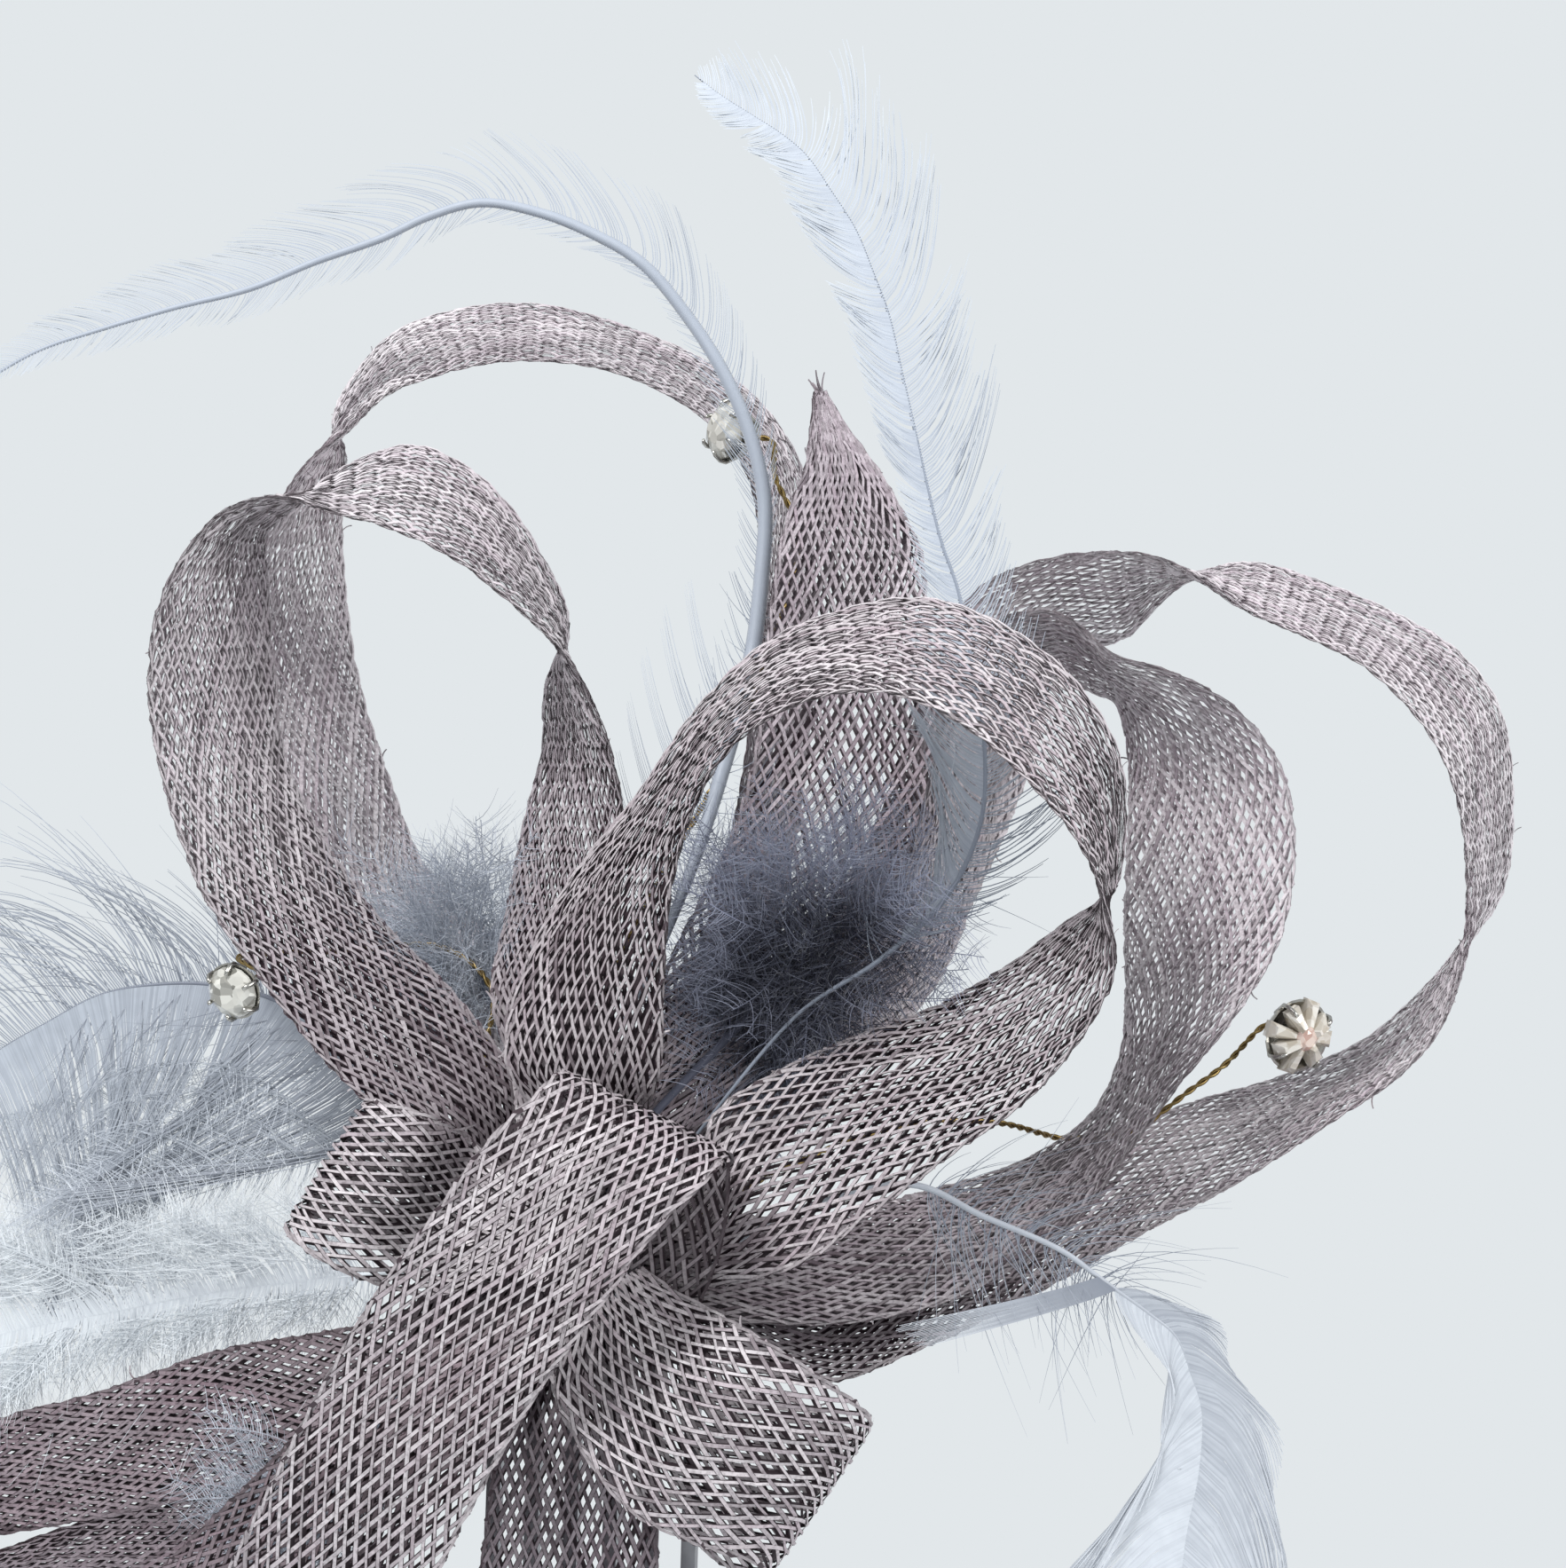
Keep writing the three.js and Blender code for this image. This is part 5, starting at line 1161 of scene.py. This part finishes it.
for strip_name, strip_table in STRIPS.items():
    weave_strip(strip_name, strip_table)
for feather_name, feather_table in FEATHERS.items():
    make_feather(feather_name, feather_table)
for fluff_name, fluff_table in FLUFFS.items():
    make_fluff(fluff_name, fluff_table)
for spray_name, spray_table in SPRAYS.items():
    make_spray(spray_name, spray_table)

# The comb keeps its solid, with softened edges
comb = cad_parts["head_comb"]
comb.data.materials.clear()
comb.data.materials.append(COMB_STEEL)
soften = comb.modifiers.new("soft_edges", "BEVEL")
soften.width = 0.25 * MM
soften.segments = 2

# Floor, light and backdrop
floor_mesh = bpy.data.meshes.new("floor")
floor_shape = bmesh.new()
bmesh.ops.create_circle(floor_shape, cap_ends=True, segments=96, radius=0.2)
floor_shape.to_mesh(floor_mesh)
floor_shape.free()
floor_look = {"Base Color": colour(226, 229, 231), "Roughness": 0.8}
floor_mesh.materials.append(Finish("floor_pale").done(floor_look))
floor = placed(floor_mesh)
floor.location = (0.02, 0.02, -0.085)

# The backdrop is seen brighter than it lights
SOFT_LIGHT = 0.72
world = bpy.data.worlds.new("backdrop")
world.use_nodes = True
backdrop = world.node_tree.nodes["Background"]
backdrop.inputs["Color"].default_value = colour(226, 231, 234)
seen = world.node_tree.nodes.new("ShaderNodeLightPath")
level = world.node_tree.nodes.new("ShaderNodeMapRange")
level.inputs["To Min"].default_value = SOFT_LIGHT
level.inputs["To Max"].default_value = 1.0
world.node_tree.links.new(seen.outputs["Is Camera Ray"], level.inputs["Value"])
world.node_tree.links.new(level.outputs["Result"], backdrop.inputs["Strength"])
bpy.context.scene.world = world


def lamp(name, place, aim, power, size):
    data = bpy.data.lights.new(name, "AREA")
    data.energy = power
    data.size = size
    made = bpy.data.objects.new(name, data)
    made.location = place
    made.rotation_euler = (Vector(aim) - Vector(place)).to_track_quat("-Z", "Y").to_euler()
    bpy.context.collection.objects.link(made)


lamp("key", (-0.35, -0.45, 0.65), (0.02, 0, 0.04), 7.5, 0.3)
lamp("fill", (0.6, -0.35, 0.3), (0.06, 0, 0.06), 3.5, 0.4)
